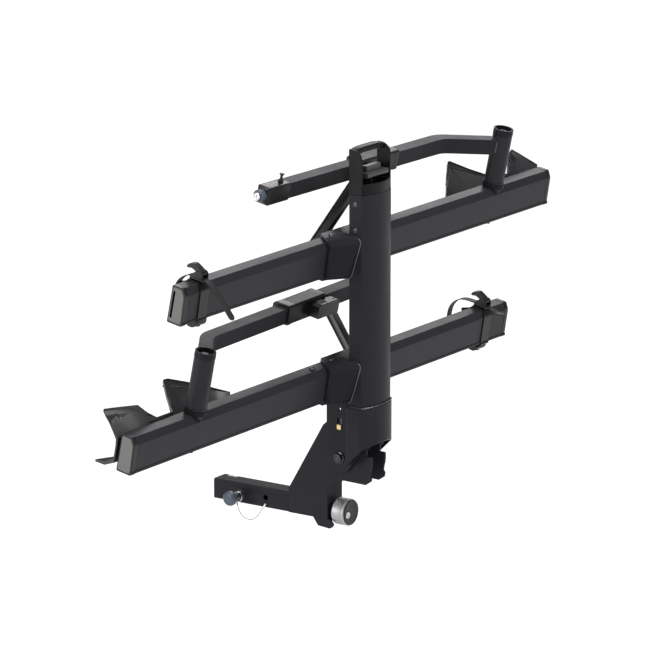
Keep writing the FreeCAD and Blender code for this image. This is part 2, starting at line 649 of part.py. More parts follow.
def button_bolt(base, axis, shank, radius=4.0):
    """A domed bolt: shank into the piece, low round head on its face."""
    centre = Vector(*base)
    head = Part.makeCone(radius * 2.0, radius * 1.3, radius * 1.1, centre, axis)
    stem = Part.makeCylinder(radius, shank, centre - axis * shank, axis)
    return head.fuse(stem).removeSplitter()


def make_frame_bolts():
    """Bolts that hold the cap to the mast and the trays to their sockets."""
    pieces = []
    for x, z in FRAME_BOLTS:
        for sign in (-1, 1):
            pieces.append(button_bolt((x, sign * (MAST_HALF + 0.02), z), Vector(0, sign, 0), 3.6, 3.5))
    for side in SIDES:
        frame = tray_frame(side)
        up = frame.Rotation.multVec(Z_AXIS)
        pieces.append(button_bolt(tuple(frame.multVec(Vector(-2, -78, 50.05))), up, 5.0, 3.9))
    lower = tray_frame("lower")
    up = lower.Rotation.multVec(Z_AXIS)
    pieces.append(Part.makeCone(7.8, 5.0, 4.3, lower.multVec(Vector(-4, -156, 44.05)), up))
    feature("frame_bolts", Part.makeCompound(pieces))


def arm_path(height):
    """Centre line of the arm from its hub to its tip, as line, arc and line."""
    offset = size("arm_offset")
    slant = math.radians(size("arm_slant"))
    corner = Vector(-offset, HUB - offset / math.tan(slant), height)
    first = Vector(-10.0, HUB - 10.0 / math.tan(slant), height)
    reach = size("arm_bend") * math.tan(slant / 2.0)
    into = (corner - first).normalize()
    before = corner - into * reach
    after = corner + Vector(0, -reach, 0)
    middle = before + (after - before) * 0.5
    depth = size("arm_bend") / math.cos(slant / 2.0) - size("arm_bend")
    middle = corner + (middle - corner).normalize() * depth
    last = Vector(-offset, size("arm_end"), height)
    return first, before, middle, after, last


def arm_sweep(width, depth, height, corner):
    """A rounded rectangle swept along the arm."""
    first, before, middle, after, last = arm_path(height)
    path = Part.Wire([Part.LineSegment(first, before).toShape(), Part.Arc(before, middle, after).toShape(),
                      Part.LineSegment(after, last).toShape()])
    run = (before - first).normalize()
    across = run.cross(Z_AXIS)
    corners = [first + across * (a * width / 2.0) + Z_AXIS * (b * depth / 2.0)
               for a, b in ((-1, -1), (1, -1), (1, 1), (-1, 1))]
    section = Part.makePolygon(corners + corners[:1])
    tube = path.makePipeShell([section], True, False)
    return tube


def make_arm(side):
    """Swinging arm: hub, bent square tube, tip cap and cable lock."""
    frame = arm_frame(side)
    offset = size("arm_offset")
    top = size("arm_top")
    depth = size("arm_depth")
    width = size("arm_width")
    wall = size("arm_wall")
    middle = top - depth / 2.0
    hub_low = size("hub_bottom")
    hub_high = size("hub_top")
    hub = rod(size("hub_radius"), hub_high - hub_low, (0, HUB, hub_low), Z_AXIS)
    hub = hub.cut(rod(size("hub_bore"), 400, (0, HUB, -100), Z_AXIS))
    hub = hub.cut(rod(20.4, 30.0, (0, HUB, 183.6), Z_AXIS))
    feature("arm_hub_" + side, handed(side, hub), frame)
    tube = arm_sweep(width, depth, middle, 4.0).cut(arm_sweep(width - 2 * wall, depth - 2 * wall, middle, 2.0))
    tube = tube.cut(rod(size("hub_radius"), 100, (0, HUB, 100), Z_AXIS))
    feature("arm_tube_" + side, handed(side, tube), frame)
    end = size("arm_end")
    grow = 2.2
    cap_end = -254.0
    sleeve = box((-offset - width / 2 - grow, end - 0.05, middle - depth / 2 - grow),
                 (-offset + width / 2 + grow, end + 5.0, middle + depth / 2 + grow))
    sleeve = sleeve.cut(box((-offset - width / 2, end - 1, middle - depth / 2),
                            (-offset + width / 2, end + 6, middle + depth / 2)))
    block = box((-offset - width / 2 - grow, cap_end, middle - depth / 2 - grow - 2),
                (-offset + width / 2 + grow, end - 0.05, middle + depth / 2 + grow))
    block = block.makeChamfer(7.0, [e for e in block.Edges if abs(e.BoundBox.YMax - cap_end) < 0.01])
    block = block.cut(rod(8.05, 40.0, (-offset, cap_end - 1, middle), Y_AXIS))
    peg = joined([rod(4.0, 5.0, (-offset, end - 14, middle + depth / 2 + grow), Z_AXIS),
                  Part.makeCone(4.0, 2.0, 14.0, Vector(-offset, end - 14, middle + depth / 2 + grow + 5), Z_AXIS),
                  rod(5.0, 3.0, (-offset, end - 14, middle + depth / 2 + grow + 18), Z_AXIS)])
    feature("arm_tip_cap_" + side, handed(side, joined([sleeve, block, peg])), frame)
    lock = joined([rod(8.0, 36.0, (-offset, cap_end - 6, middle), Y_AXIS),
                   rod(15.0, 14.0, (-offset, cap_end - 14.5, middle), Y_AXIS),
                   rod(10.5, 8.0, (-offset, cap_end - 22.5, middle), Y_AXIS)])
    feature("tip_lock_" + side, handed(side, lock), frame)


def make_slider(side):
    """Tyre hook carriage on the arm: housing, hook bar and release button."""
    frame = arm_frame(side)
    offset = size("arm_offset")
    half = size("arm_width") / 2.0
    top = size("arm_top")
    depth = size("arm_depth")
    start = size("slider_start_" + side)
    end = start + size("slider_length")
    clear = 0.4
    outer = box((-offset - half - 11.0, start, top - depth - 4.0), (-offset + half + 5.0, end, top + 7.0))
    outer = rounded(outer, 4.0, lambda e: along(e, Y_AXIS))
    pocket = box((-offset + half + 1.0, start - 30.0, top - depth - 2.0), (-45.0, start + 62.0, top - 3.0))
    pocket = rounded(pocket, 4.0, lambda e: along(e, Z_AXIS))
    body = joined([outer, pocket])
    body = body.cut(box((-offset - half - clear, start - 60, top - depth - clear),
                        (-offset + half + clear, end + 10, top + clear)))
    button_box = box((-68.0, start + 20.0, top - 12.0), (-52.0, start + 44.0, top + 1.0))
    body = body.cut(box((-68.4, start + 19.6, top - 20.0), (-51.6, start + 44.4, top + 20.0)))
    # hook bar: leaves the pocket and slants to the arm's tip while it drops past the tyre
    width = size("hook_width")
    thick = size("hook_thick") / math.sin(math.radians(45.0)) / 2.0
    across_low = -50.0 - width
    high = top - depth + 8.0
    low = -40.0
    place = start - 14.0
    drop = place - (high - low) * 1.0
    outline = [(place - thick, high), (place + thick, high), (drop + thick, low), (drop - thick, low)]
    hook = Part.Face(Part.makePolygon([Vector(across_low, a, b) for a, b in outline + outline[:1]]))
    hook = hook.extrude(X_AXIS * width)
    foot = rounded(box((across_low, drop - 26.0, low - 12.0), (-50.0, drop + thick, low)), 4.0,
                   lambda e: along(e, X_AXIS) and e.BoundBox.ZMax < low - 1)
    hook = joined([hook, foot])
    hook = hook.cut(box((-offset - half - clear, place - 60, top - depth - clear), (-offset + half + clear, place + 60, top)))
    body = body.cut(hook)
    feature("hook_slider_" + side, handed(side, body), frame)
    feature("tyre_hook_" + side, handed(side, hook), frame)
    feature("slider_button_" + side, handed(side, button_box), frame)


BUCKLE_FLOOR = 48.4


def make_strap(side):
    """Rear wheel strap: carriage round the tray, ladder strap and ratchet buckle."""
    frame = tray_frame(side)
    centre = size("band_place_" + side)
    half = size("band_length") / 2.0
    low, high = centre - half, centre + half
    band = tray_prism(3.4, low, high).cut(tray_prism(0.4, low - 1, high + 1))
    clamp = box((-6.0, low + 2, -62.0), (20.0, high + 8, -47.0))
    clamp = rounded(clamp, 4.0, lambda e: along(e, Y_AXIS) and e.BoundBox.ZMax < -60)
    scoop = []
    for place, lip, spread in ((low - 17, -34.0, 44.0), (centre, -30.0, 40.0), (high + 26, -34.0, 44.0)):
        points = [(lip, spread), (lip, spread - 3.5), (-25.5, 16.0), (-25.5, -16.0), (lip, -spread + 3.5),
                  (lip, -spread), (-22.5, -20.0), (-22.5, 20.0)]
        corners = [Vector(a, place, b) for a, b in points]
        scoop.append(Part.makePolygon(corners + corners[:1]))
    body = joined([band, clamp, Part.makeLoft(scoop, True, True)]).cut(tray_prism(0.4, low - 60, high + 60))
    mount = box((-16.0, centre - 9, 47.2), (10.0, centre + 9, BUCKLE_FLOOR))
    body = joined([body, mount])
    feature("strap_carriage_" + side, handed(side, body), frame)
    # ratchet buckle: base with two ears, and a lever on a cross pin between them
    floor = BUCKLE_FLOOR
    pivot = (6.0, floor + 17.0)
    buckle = box((-20.0, centre - 13, floor), (14.0, centre + 13, floor + 10))
    buckle = buckle.cut(box((-30.0, centre - 10.5, floor + 3.0), (20.0, centre + 10.5, floor + 8.0)))
    ear = [(-14.0, floor + 10), (13.0, floor + 10), (12.0, floor + 20), (6.0, floor + 24), (-5.0, floor + 22), (-12.0, floor + 16)]
    pin = rod(2.5, 40.0, (pivot[0], centre - 20, pivot[1]), Y_AXIS)
    ears = [prism(ear, "Y", centre + sign * 13.0, centre + sign * 10.0) for sign in (-1, 1)]
    buckle = joined([buckle] + ears).cut(rod(2.55, 40.0, (pivot[0], centre - 20, pivot[1]), Y_AXIS))
    feature("strap_buckle_" + side, handed(side, buckle), frame)
    lever = [(-33.0, floor + 20.6), (-35.0, floor + 25.6), (-28.0, floor + 32.6), (-17.0, floor + 35.6),
             (-4.0, floor + 29.6), (9.0, floor + 22.0), (12.3, floor + 18.6), (11.0, floor + 14.0),
             (5.0, floor + 11.8), (-3.0, floor + 13.6), (-20.0, floor + 21.6)]
    lever = prism(lever, "Y", centre - 9.7, centre + 9.7)
    pin = rod(2.5, 25.8, (pivot[0], centre - 12.9, pivot[1]), Y_AXIS)
    feature("buckle_lever_" + side, handed(side, joined([lever, pin])), frame)
    feature("wheel_strap_" + side, handed(side, strap_shape(side, centre, floor + 5.6).cut(body)), frame)


# how each ladder strap lies: the loop behind the tray, then its tail beyond the buckle
STRAP_LOOP = {"lower": [(-21.0, -33.0), (-70.0, -30.0), (-90.0, -4.0), (-82.0, 32.0), (-53.0, 53.0)],
              "upper": [(-21.0, -33.0), (-46.0, -26.0), (-57.0, 2.0), (-51.0, 32.0)]}
STRAP_TAIL = {"lower": [(30.0, 50.0), (48.0, 47.5), (65.0, 50.0)],
              "upper": [(28.0, 50.0), (52.0, 33.0), (80.0, 10.0), (107.0, -14.0)]}


def strap_shape(side, centre, through):
    """Ladder strap as flat runs: anchored low, looped behind the tray, through the buckle, tail free."""
    thick = size("strap_thick")
    path = STRAP_LOOP[side] + [(-24.0, through), (14.0, through)] + STRAP_TAIL[side]
    path = [Vector(a, centre, b) for a, b in path]
    spans = []
    width = size("strap_width") - 5.0
    side_step = Y_AXIS * (width / 2.0)
    for p, q in zip(path, path[1:]):
        up = (q - p).normalize().cross(Y_AXIS) * (thick / 2.0)
        corners = [p - up - side_step, p + up - side_step, p + up + side_step, p - up + side_step]
        face = Part.Face(Part.makePolygon(corners + corners[:1]))
        spans.append(face.extrude(q - p))
        spans.append(Part.makeCylinder(thick / 2.0, width, q - side_step, Y_AXIS))
    return joined(spans[:-1])


# ---------------------------------------------------------------- build and write

make_tongue()
make_bracket()
make_pivot()
make_knob()
make_pin()
make_mast()
make_release()
make_mast_cap()
post_parts = []
for side_name in SIDES:
    post_parts.append(make_tray(side_name))
    make_cradle(side_name)
    make_socket(side_name)
    make_arm(side_name)
    make_slider(side_name)
    make_strap(side_name)
feature("arm_post_bases", Part.makeCompound([base for base, pin in post_parts]))
feature("arm_pivot_pins", Part.makeCompound([pin for base, pin in post_parts]))
make_frame_bolts()

doc.recompute()
for item in doc.Objects:
    if "Invalid" in item.State or "Error" in item.State:
        raise ValueError("%s failed: %s" % (item.Label, item.State))
os.makedirs("parts", exist_ok=True)
for item in PARTS:
    shape = item.Shape
    if shape.isNull() or not shape.isValid() or not shape.Solids:
        raise ValueError(item.Label + " has no valid shape")
    for solid in shape.Solids:
        if solid.Volume <= 0:
            raise ValueError(item.Label + " has an inside-out solid")
    shape.exportStep("parts/%s.step" % item.Label)
print("wrote %d parts" % len(PARTS))
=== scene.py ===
import json
import math

import bmesh
import bpy
from mathutils import Matrix, Vector


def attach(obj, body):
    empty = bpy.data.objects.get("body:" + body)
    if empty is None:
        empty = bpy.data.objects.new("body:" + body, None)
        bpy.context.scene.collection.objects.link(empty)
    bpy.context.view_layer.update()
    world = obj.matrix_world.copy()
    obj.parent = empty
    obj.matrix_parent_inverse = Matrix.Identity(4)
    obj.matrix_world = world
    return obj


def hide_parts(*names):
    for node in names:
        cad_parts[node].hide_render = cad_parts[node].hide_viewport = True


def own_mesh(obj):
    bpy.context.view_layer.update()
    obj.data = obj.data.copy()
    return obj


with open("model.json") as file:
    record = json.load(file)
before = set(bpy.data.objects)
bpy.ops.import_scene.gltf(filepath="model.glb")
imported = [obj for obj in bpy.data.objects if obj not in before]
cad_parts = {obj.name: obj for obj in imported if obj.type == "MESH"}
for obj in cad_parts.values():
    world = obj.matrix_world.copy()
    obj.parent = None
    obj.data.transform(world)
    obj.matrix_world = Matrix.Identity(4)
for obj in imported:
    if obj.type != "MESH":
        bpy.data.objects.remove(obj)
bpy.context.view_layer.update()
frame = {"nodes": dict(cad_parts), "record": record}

# Two-bike hitch rack, folded upright. Pieces are drawn in millimetres and scaled to metres.
# A wheel tray and its arm are drawn once, in the upper tray's own axes (across, along, up),
# and placed twice: the lower tray is the upper one mirrored along the row.

MM = 0.001
SIDES = ("lower", "upper")
ROW = Matrix.Scale(MM, 4)
LEAN = math.radians(11.5)
TRAY_X = 287.4
TRAY_ENDS = (("hub_end", 883.0, -1), ("strap_end", -687.0, 1))
HUB = 631.0
ARM_MIDDLE = 151.0
TIP = (-90.0, -254.0, ARM_MIDDLE)
MAST_FRONT = 369.0
MAST_BOW = 14.6
KNOB_AXIS = (0, 0, -6.0)
KNOB_LOCK = (0, -15.5, -9.0)
TRAY_HEIGHT = {"lower": 336.0, "upper": 637.3}
ARM_ANGLE = {"lower": 1.9, "upper": 0.8}
STRAP_PLACE = {"lower": -588.0, "upper": -612.0}
STRAP_LOOP = {"lower": [(-22.5, -32.0), (-48.0, -32.5), (-72.0, -28.0), (-87.0, -14.0), (-90.0, 2.0), (-87.0, 22.0),
                        (-75.0, 40.0), (-55.0, 51.0)],
              "upper": [(-22.5, -32.0), (-40.0, -29.0), (-52.0, -14.0), (-56.8, 3.0), (-55.0, 22.0), (-48.0, 36.0),
                        (-37.0, 47.0)]}
STRAP_TAIL = {"lower": [(30.0, 50.4), (42.0, 47.8), (54.0, 47.8), (64.5, 49.8)],
              "upper": [(28.0, 49.8), (42.0, 41.0), (56.0, 30.0), (80.0, 10.2), (94.0, -2.4), (106.0, -13.0)]}
SLIDER_START = {"lower": 10.0, "upper": 124.0}
SLIDER_LENGTH = 157.0
TOOTH_PITCH = 4.2
TRAY_PROFILE = [(-20.0, 44.0), (8.0, 44.0), (17.0, 27.0), (19.5, -34.0), (22.0, -36.5),
                (22.0, -40.5), (16.0, -44.0), (-20.0, -44.0)]


def tray_axes(side):
    """Matrix from a tray's own millimetres to the row frame."""
    hand = 1.0 if side == "upper" else -1.0
    across = Vector((math.cos(LEAN), 0, -math.sin(LEAN)))
    up = Vector((math.sin(LEAN), 0, math.cos(LEAN)))
    turn = Matrix((across, (0, hand, 0), up)).transposed().to_4x4()
    return Matrix.Translation((TRAY_X * MM, 0, TRAY_HEIGHT[side] * MM)) @ turn @ ROW


def arm_axes(side):
    """The tray's matrix, turned about the arm's post to where the arm rests."""
    turn = Matrix.Rotation(math.radians(-ARM_ANGLE[side]), 4, "Z")
    post = Matrix.Translation((0, HUB, 0))
    return tray_axes(side) @ post @ turn @ post.inverted()


# ---------------------------------------------------------------- materials

ROUGHNESS_SWING = 0.06


def node_material(name):
    """A node material: itself, its nodes, its links and its shader."""
    material = bpy.data.materials.new(name)
    material.use_nodes = True
    nodes = material.node_tree.nodes
    return material, nodes, material.node_tree.links, nodes["Principled BSDF"]


def mixed(nodes, first, second):
    """A colour mix node with its second colour, and its first where that is fixed."""
    mix = nodes.new("ShaderNodeMix")
    mix.data_type = "RGBA"
    if first:
        mix.inputs["A"].default_value = (*first, 1)
    mix.inputs["B"].default_value = (*second, 1)
    return mix


def finish(name, color, roughness, metallic=0.0, grain=400.0, depth=0.00005,
           vary=0.08, edge=0.0007, wear_and_highlight=0.0, coat=0.0, specular=0.5):
    """A surface with mottled colour and roughness, fine grain, softened edges and corners lightened partly as wear
    and partly as painted highlight.

    grain is the fine noise's scale, depth the bump's height and edge the softened corner's
    radius, both in metres.
    """
    material, nodes, links, shader = node_material(name)
    place = nodes.new("ShaderNodeTexCoord")
    broad = nodes.new("ShaderNodeTexNoise")
    broad.inputs["Scale"].default_value = 14.0
    broad.inputs["Detail"].default_value = 5.0
    fine = nodes.new("ShaderNodeTexNoise")
    fine.inputs["Scale"].default_value = grain
    fine.inputs["Detail"].default_value = 3.0
    for noise in (broad, fine):
        links.new(place.outputs["Object"], noise.inputs["Vector"])
    mix = mixed(nodes, [c * (1 - vary) for c in color], [min(1.0, c * (1 + vary)) for c in color])
    blend = nodes.new("ShaderNodeMath")
    blend.operation = "ADD"
    blend.use_clamp = True
    half = nodes.new("ShaderNodeMath")
    half.operation = "MULTIPLY_ADD"
    half.inputs[1].default_value = 0.8
    half.inputs[2].default_value = -0.4
    links.new(fine.outputs["Fac"], half.inputs[0])
    links.new(broad.outputs["Fac"], blend.inputs[0])
    links.new(half.outputs[0], blend.inputs[1])
    links.new(blend.outputs[0], mix.inputs["Factor"])
    color_out = mix.outputs["Result"]
    rough = nodes.new("ShaderNodeMapRange")
    rough.inputs["To Min"].default_value = roughness - ROUGHNESS_SWING
    rough.inputs["To Max"].default_value = roughness + ROUGHNESS_SWING
    links.new(blend.outputs[0], rough.inputs["Value"])
    # painted highlight: sharp convex corners are lightened here, partly as wear and partly standing in for the bright
    # glints along edges
    if wear_and_highlight > 0:
        shape = nodes.new("ShaderNodeNewGeometry")
        ramp = nodes.new("ShaderNodeMapRange")
        ramp.inputs["From Min"].default_value = 0.52
        ramp.inputs["From Max"].default_value = 0.62
        ramp.inputs["To Max"].default_value = wear_and_highlight
        links.new(shape.outputs["Pointiness"], ramp.inputs["Value"])
        worn_and_lit = mixed(nodes, None, [min(1.0, c * 3.0 + 0.03) for c in color])
        links.new(ramp.outputs["Result"], worn_and_lit.inputs["Factor"])
        links.new(color_out, worn_and_lit.inputs["A"])
        color_out = worn_and_lit.outputs["Result"]
    soft = nodes.new("ShaderNodeBevel")
    soft.samples = 6
    soft.inputs["Radius"].default_value = edge
    bump = nodes.new("ShaderNodeBump")
    bump.inputs["Strength"].default_value = 0.6
    bump.inputs["Distance"].default_value = depth
    links.new(fine.outputs["Fac"], bump.inputs["Height"])
    links.new(soft.outputs["Normal"], bump.inputs["Normal"])
    links.new(bump.outputs["Normal"], shader.inputs["Normal"])
    links.new(color_out, shader.inputs["Base Color"])
    links.new(rough.outputs["Result"], shader.inputs["Roughness"])
    shader.inputs["Metallic"].default_value = metallic
    shader.inputs["Coat Weight"].default_value = coat
    shader.inputs["Coat Roughness"].default_value = 0.25
    shader.inputs["Specular IOR Level"].default_value = specular
    return material


LOOKS = {
    # powder coat: its corners are lightened, partly as wear and partly as painted highlight
    "frame_coat": finish("powder_coat", (0.0095, 0.009, 0.0115), 0.42, grain=1100, depth=0.00004,
                         edge=0.0014, wear_and_highlight=0.25, specular=0.06),
    "black_plastic": finish("moulded_black", (0.006, 0.006, 0.0065), 0.36, grain=1500, depth=0.00003,
                            edge=0.0008, specular=0.3),
    "grey_plastic": finish("moulded_grey", (0.12, 0.116, 0.11), 0.5, grain=1400, depth=0.00004),
    "strap_plastic": finish("strap_black", (0.014, 0.014, 0.015), 0.5, grain=1200, depth=0.00003, specular=0.3),
    "blue_grey": finish("moulded_blue_grey", (0.055, 0.068, 0.092), 0.4, grain=1300, depth=0.00003),
    "bright_steel": finish("bright_steel", (0.55, 0.55, 0.57), 0.28, metallic=1.0, grain=700,
                           depth=0.00001, vary=0.04),
    "knurled_aluminium": finish("turned_aluminium", (0.36, 0.36, 0.365), 0.48, metallic=1.0, grain=900,
                                depth=0.00002, vary=0.05),
    "wire": finish("wire_rope", (0.25, 0.25, 0.26), 0.4, metallic=0.6, grain=900, depth=0.00003),
    "dark_steel": finish("dark_steel", (0.05, 0.05, 0.056), 0.32, metallic=0.6, grain=900, depth=0.00003),
    "yellow_zinc": finish("yellow_zinc", (0.62, 0.49, 0.22), 0.35, metallic=0.7, grain=500,
                          depth=0.00002, vary=0.15),
    "lever_grey": finish("moulded_light_grey", (0.03, 0.03, 0.032), 0.45, grain=1400, depth=0.00003),
}
# tray coat: its corners are lightened, partly as wear and partly as painted highlight
TRAY_COAT = finish("tray_coat", (0.0125, 0.0118, 0.0148), 0.38, grain=1100, depth=0.00003, edge=0.0012, wear_and_highlight=0.2,
                   specular=0.1)
# painted sheen: the cradle's satin black is lighter than the other black plastic, standing in for the sheen it shows
# under the bright ceiling; its higher specular is real
SATIN_WITH_PAINTED_SHEEN = finish("satin_black_painted_sheen", (0.02, 0.0205, 0.022), 0.34, grain=1500, depth=0.00002, vary=0.12, edge=0.001,
               specular=0.5)
CAP_SATIN = finish("cap_satin", (0.0075, 0.0075, 0.008), 0.4, grain=1300, depth=0.00004, edge=0.0012, specular=0.12)
BOLT_BLUE = finish("blued_steel", (0.02, 0.02, 0.032), 0.22, metallic=0.5, grain=900, depth=0.00002)
WELD = finish("painted_weld", (0.045, 0.043, 0.05), 0.25, grain=500, depth=0.0001, coat=0.8, edge=0.0004)


def dress_cad_nodes():
    """Give each CAD node that stays the finish of its slot."""
    slots = {part["node"]: part["material_slot"] for part in frame["record"]["subparts"]}
    for node, obj in frame["nodes"].items():
        obj.data.materials.clear()
        obj.data.materials.append(TRAY_COAT if node.startswith(("tray_", "arm_hub")) else LOOKS[slots[node]])


# ---------------------------------------------------------------- light, floor and camera

def add_light(name, place, target, width, height, energy):
    """A rectangular area light, sized in metres, that faces a target."""
    data = bpy.data.lights.new(name, "AREA")
    data.shape = "RECTANGLE"
    data.size = width
    data.size_y = height
    data.energy = energy
    obj = bpy.data.objects.new(name, data)
    bpy.context.scene.collection.objects.link(obj)
    obj.location = place
    obj.rotation_euler = (Vector(target) - Vector(place)).to_track_quat("-Z", "Y").to_euler()


def add_studio():
    """A dim soft room with a bright ceiling, four area lights and a pale floor."""
    scene = bpy.context.scene
    world = bpy.data.worlds.new("studio")
    scene.world = world
    world.use_nodes = True
    nodes, links = world.node_tree.nodes, world.node_tree.links
    place = nodes.new("ShaderNodeTexCoord")
    parts = nodes.new("ShaderNodeSeparateXYZ")
    ramp = nodes.new("ShaderNodeValToRGB")
    links.new(place.outputs["Generated"], parts.inputs[0])
    links.new(parts.outputs["Z"], ramp.inputs[0])
    links.new(ramp.outputs[0], nodes["Background"].inputs["Color"])
    ramp.color_ramp.elements[0].position = 0.0
    ramp.color_ramp.elements[0].color = (0.06, 0.06, 0.06, 1)
    ramp.color_ramp.elements[1].position = 1.0
    ramp.color_ramp.elements[1].color = (1.0, 1.0, 1.0, 1)
    middle = ramp.color_ramp.elements.new(0.35)
    middle.color = (0.19, 0.19, 0.20, 1)
    nodes["Background"].inputs["Strength"].default_value = 0.9
    add_light("top", (0.6, -0.4, 4.0), (0.3, 0, 0.4), 3.0, 3.0, 130)
    add_light("key", (-1.6, -4.5, 1.2), (0.3, 0, 0.4), 1.2, 2.5, 105)
    add_light("rim", (-2.6, 5.6, 3.4), (0.3, 0.2, 0.4), 2.4, 1.6, 62)
    add_light("fill", (6.0, 1.6, 3.0), (0.3, -0.3, 0.4), 1.4, 1.2, 100)
    mesh = bpy.data.meshes.new("floor")
    far, depth = 60.0, -0.8
    mesh.from_pydata([(-far, -far, depth), (far, -far, depth), (far, far, depth), (-far, far, depth)],
                     [], [(0, 1, 2, 3)])
    floor = bpy.data.objects.new("floor", mesh)
    paint = finish("floor_paint", (0.2, 0.2, 0.2), 0.9, grain=60, vary=0.01, edge=0.0001)
    shader = paint.node_tree.nodes["Principled BSDF"]
    shader.inputs["Emission Color"].default_value = (1, 1, 1, 1)
    shader.inputs["Emission Strength"].default_value = 0.93
    mesh.materials.append(paint)
    scene.collection.objects.link(floor)


def add_camera():
    """A long lens, placed in millimetres along its own axes."""
    scene = bpy.context.scene
    back = Vector((0.5446, -0.8043, 0.2379)).normalized()
    right = Vector((-back.y, back.x, 0)).normalized()
    up = back.cross(right)
    place = (right * 184.8 + up * 403.1 + back * 11131.0) * MM
    data = bpy.data.cameras.new("camera")
    data.lens = 253.9
    data.sensor_width = 36.0
    data.clip_end = 200.0
    camera = bpy.data.objects.new("camera", data)
    camera.matrix_world = Matrix.Translation(place) @ Matrix((right, up, back)).transposed().to_4x4()
    scene.collection.objects.link(camera)
    scene.camera = camera
    scene.view_settings.view_transform = "Standard"


# ---------------------------------------------------------------- mesh tools

def rounded(outline, radius, steps=3):
    """A closed outline with its corners rounded."""
    out = []
    count = len(outline)
    for k in range(count):
        before, corner, after = (Vector(outline[(k + d) % count]) for d in (-1, 0, 1))
        into, away = before - corner, after - corner
        reach = min(radius, 0.45 * into.length, 0.45 * away.length)
        start, end = corner + into.normalized() * reach, corner + away.normalized() * reach
        for step in range(steps + 1):
            t = step / steps
            out.append(tuple(start * (1 - t) ** 2 + corner * 2 * t * (1 - t) + end * t * t))
    return out


def rings(bm, rows, closed=False):
    """Skin a list of rings of points: capped at both ends, or closed round from last to first."""
    made = [[bm.verts.new(p) for p in row] for row in rows]
    if closed:
        made.append(made[0])
    count = len(made[0])
    for a, b in zip(made, made[1:]):
        for k in range(count):
            bm.faces.new((a[k], a[(k + 1) % count], b[(k + 1) % count], b[k]))
    if not closed:
        bm.faces.new(list(reversed(made[0])))
        bm.faces.new(made[-1])


def slab(bm, outline, axis, low, high):
    """Extrude an outline between two places on an axis."""
    spread = {"x": lambda a, b, c: (c, a, b), "y": lambda a, b, c: (a, c, b), "z": lambda a, b, c: (a, b, c)}
    rings(bm, [[spread[axis](a, b, place) for a, b in outline] for place in (low, high)])


def block(bm, low, high):
    """A box between two corners."""
    slab(bm, [(low[0], low[1]), (high[0], low[1]), (high[0], high[1]), (low[0], high[1])], "z", low[2], high[2])


def turned(bm, profile, centre, axis, steps=40):
    """Turn a profile of (radius, place along the axis) about an axis through a point."""
    axis = Vector(axis).normalized()
    side = axis.orthogonal().normalized()
    other = axis.cross(side)
    rows = []
    for radius, place in profile:
        middle = Vector(centre) + axis * place
        radius = max(radius, 0.02)
        rows.append([middle + (side * a + other * b) * radius for a, b in circle(1.0, steps)])
    rings(bm, rows)


def swept(bm, path, section, up):
    """Sweep a closed section of (sideways, upwards) points along a path."""
    path = [Vector(p) for p in path]
    rows = []
    for k, point in enumerate(path):
        ahead = path[min(k + 1, len(path) - 1)] - path[max(k - 1, 0)]
        ahead.normalize()
        side = ahead.cross(Vector(up)).normalized()
        lift = side.cross(ahead)
        rows.append([point + side * a + lift * b for a, b in section])
    rings(bm, rows)


def smooth_path(points, steps=6):
    """A smooth line through points (Catmull-Rom)."""
    points = [Vector(p) for p in points]
    padded = [points[0] * 2 - points[1]] + points + [points[-1] * 2 - points[-2]]
    out = []
    for a, b, c, d in zip(padded, padded[1:], padded[2:], padded[3:]):
        for step in range(steps):
            t = step / steps
            out.append(((b * 2) + (c - a) * t + (a * 2 - b * 5 + c * 4 - d) * t * t
                        + (b * 3 - a - c * 3 + d) * t ** 3) * 0.5)
    out.append(points[-1])
    return out


def circle(radius, steps, middle=(0.0, 0.0)):
    """Points round a circle, or the corners of a regular outline."""
    turns = [2 * math.pi * k / steps for k in range(steps)]
    return [(middle[0] + radius * math.cos(a), middle[1] + radius * math.sin(a)) for a in turns]


def finish_piece(name, bm, body, look, matrix, bevel=0.0, sharp=32, replaces=(), material=None):
    """Turn a mesh in millimetres into a piece that rides on a body.

    look picks its material unless another is given; edges sharper than sharp
    degrees stay sharp, and are bevelled by bevel millimetres.
    """
    bm.transform(matrix)
    bmesh.ops.remove_doubles(bm, verts=bm.verts, dist=1e-6)
    bmesh.ops.recalc_face_normals(bm, faces=bm.faces)
    for face in bm.faces:
        face.smooth = True
    for edge in bm.edges:
        if len(edge.link_faces) == 2 and edge.calc_face_angle() > math.radians(sharp):
            edge.smooth = False
    mesh = bpy.data.meshes.new(name)
    bm.to_mesh(mesh)
    bm.free()
    obj = bpy.data.objects.new(name, mesh)
    bpy.context.scene.collection.objects.link(obj)
    mesh.materials.append(material or LOOKS[look])
    if bevel > 0:
        modifier = obj.modifiers.new("bevel", "BEVEL")
        modifier.width = bevel * MM
        modifier.segments = 2
        modifier.limit_method = "ANGLE"
        modifier.angle_limit = math.radians(sharp)
        modifier.harden_normals = True
    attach(obj, body)
    if replaces:
        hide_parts(*replaces)
    return obj


def carve(obj, cutters):
    """Cut holes out of a piece with closed meshes given in millimetres and their matrix."""
    for bm, matrix in cutters:
        bm.transform(matrix)
        bmesh.ops.recalc_face_normals(bm, faces=bm.faces)
        mesh = bpy.data.meshes.new("cutter")
        bm.to_mesh(mesh)
        bm.free()
        cutter = bpy.data.objects.new("cutter", mesh)
        bpy.context.scene.collection.objects.link(cutter)
        modifier = obj.modifiers.new("carve", "BOOLEAN")
        modifier.object = cutter
        modifier.solver = "EXACT"
        others = [m for m in obj.modifiers if m.type != "BOOLEAN"]
        shown = [m.show_viewport for m in others]
        for m in others:
            m.show_viewport = False
        bpy.context.view_layer.update()
        result = bpy.data.meshes.new_from_object(obj.evaluated_get(bpy.context.evaluated_depsgraph_get()))
        obj.modifiers.remove(modifier)
        for m, state in zip(others, shown):
            m.show_viewport = state
        old = obj.data
        result.name = old.name
        obj.data = result
        bpy.data.meshes.remove(old)
        bpy.data.objects.remove(cutter)


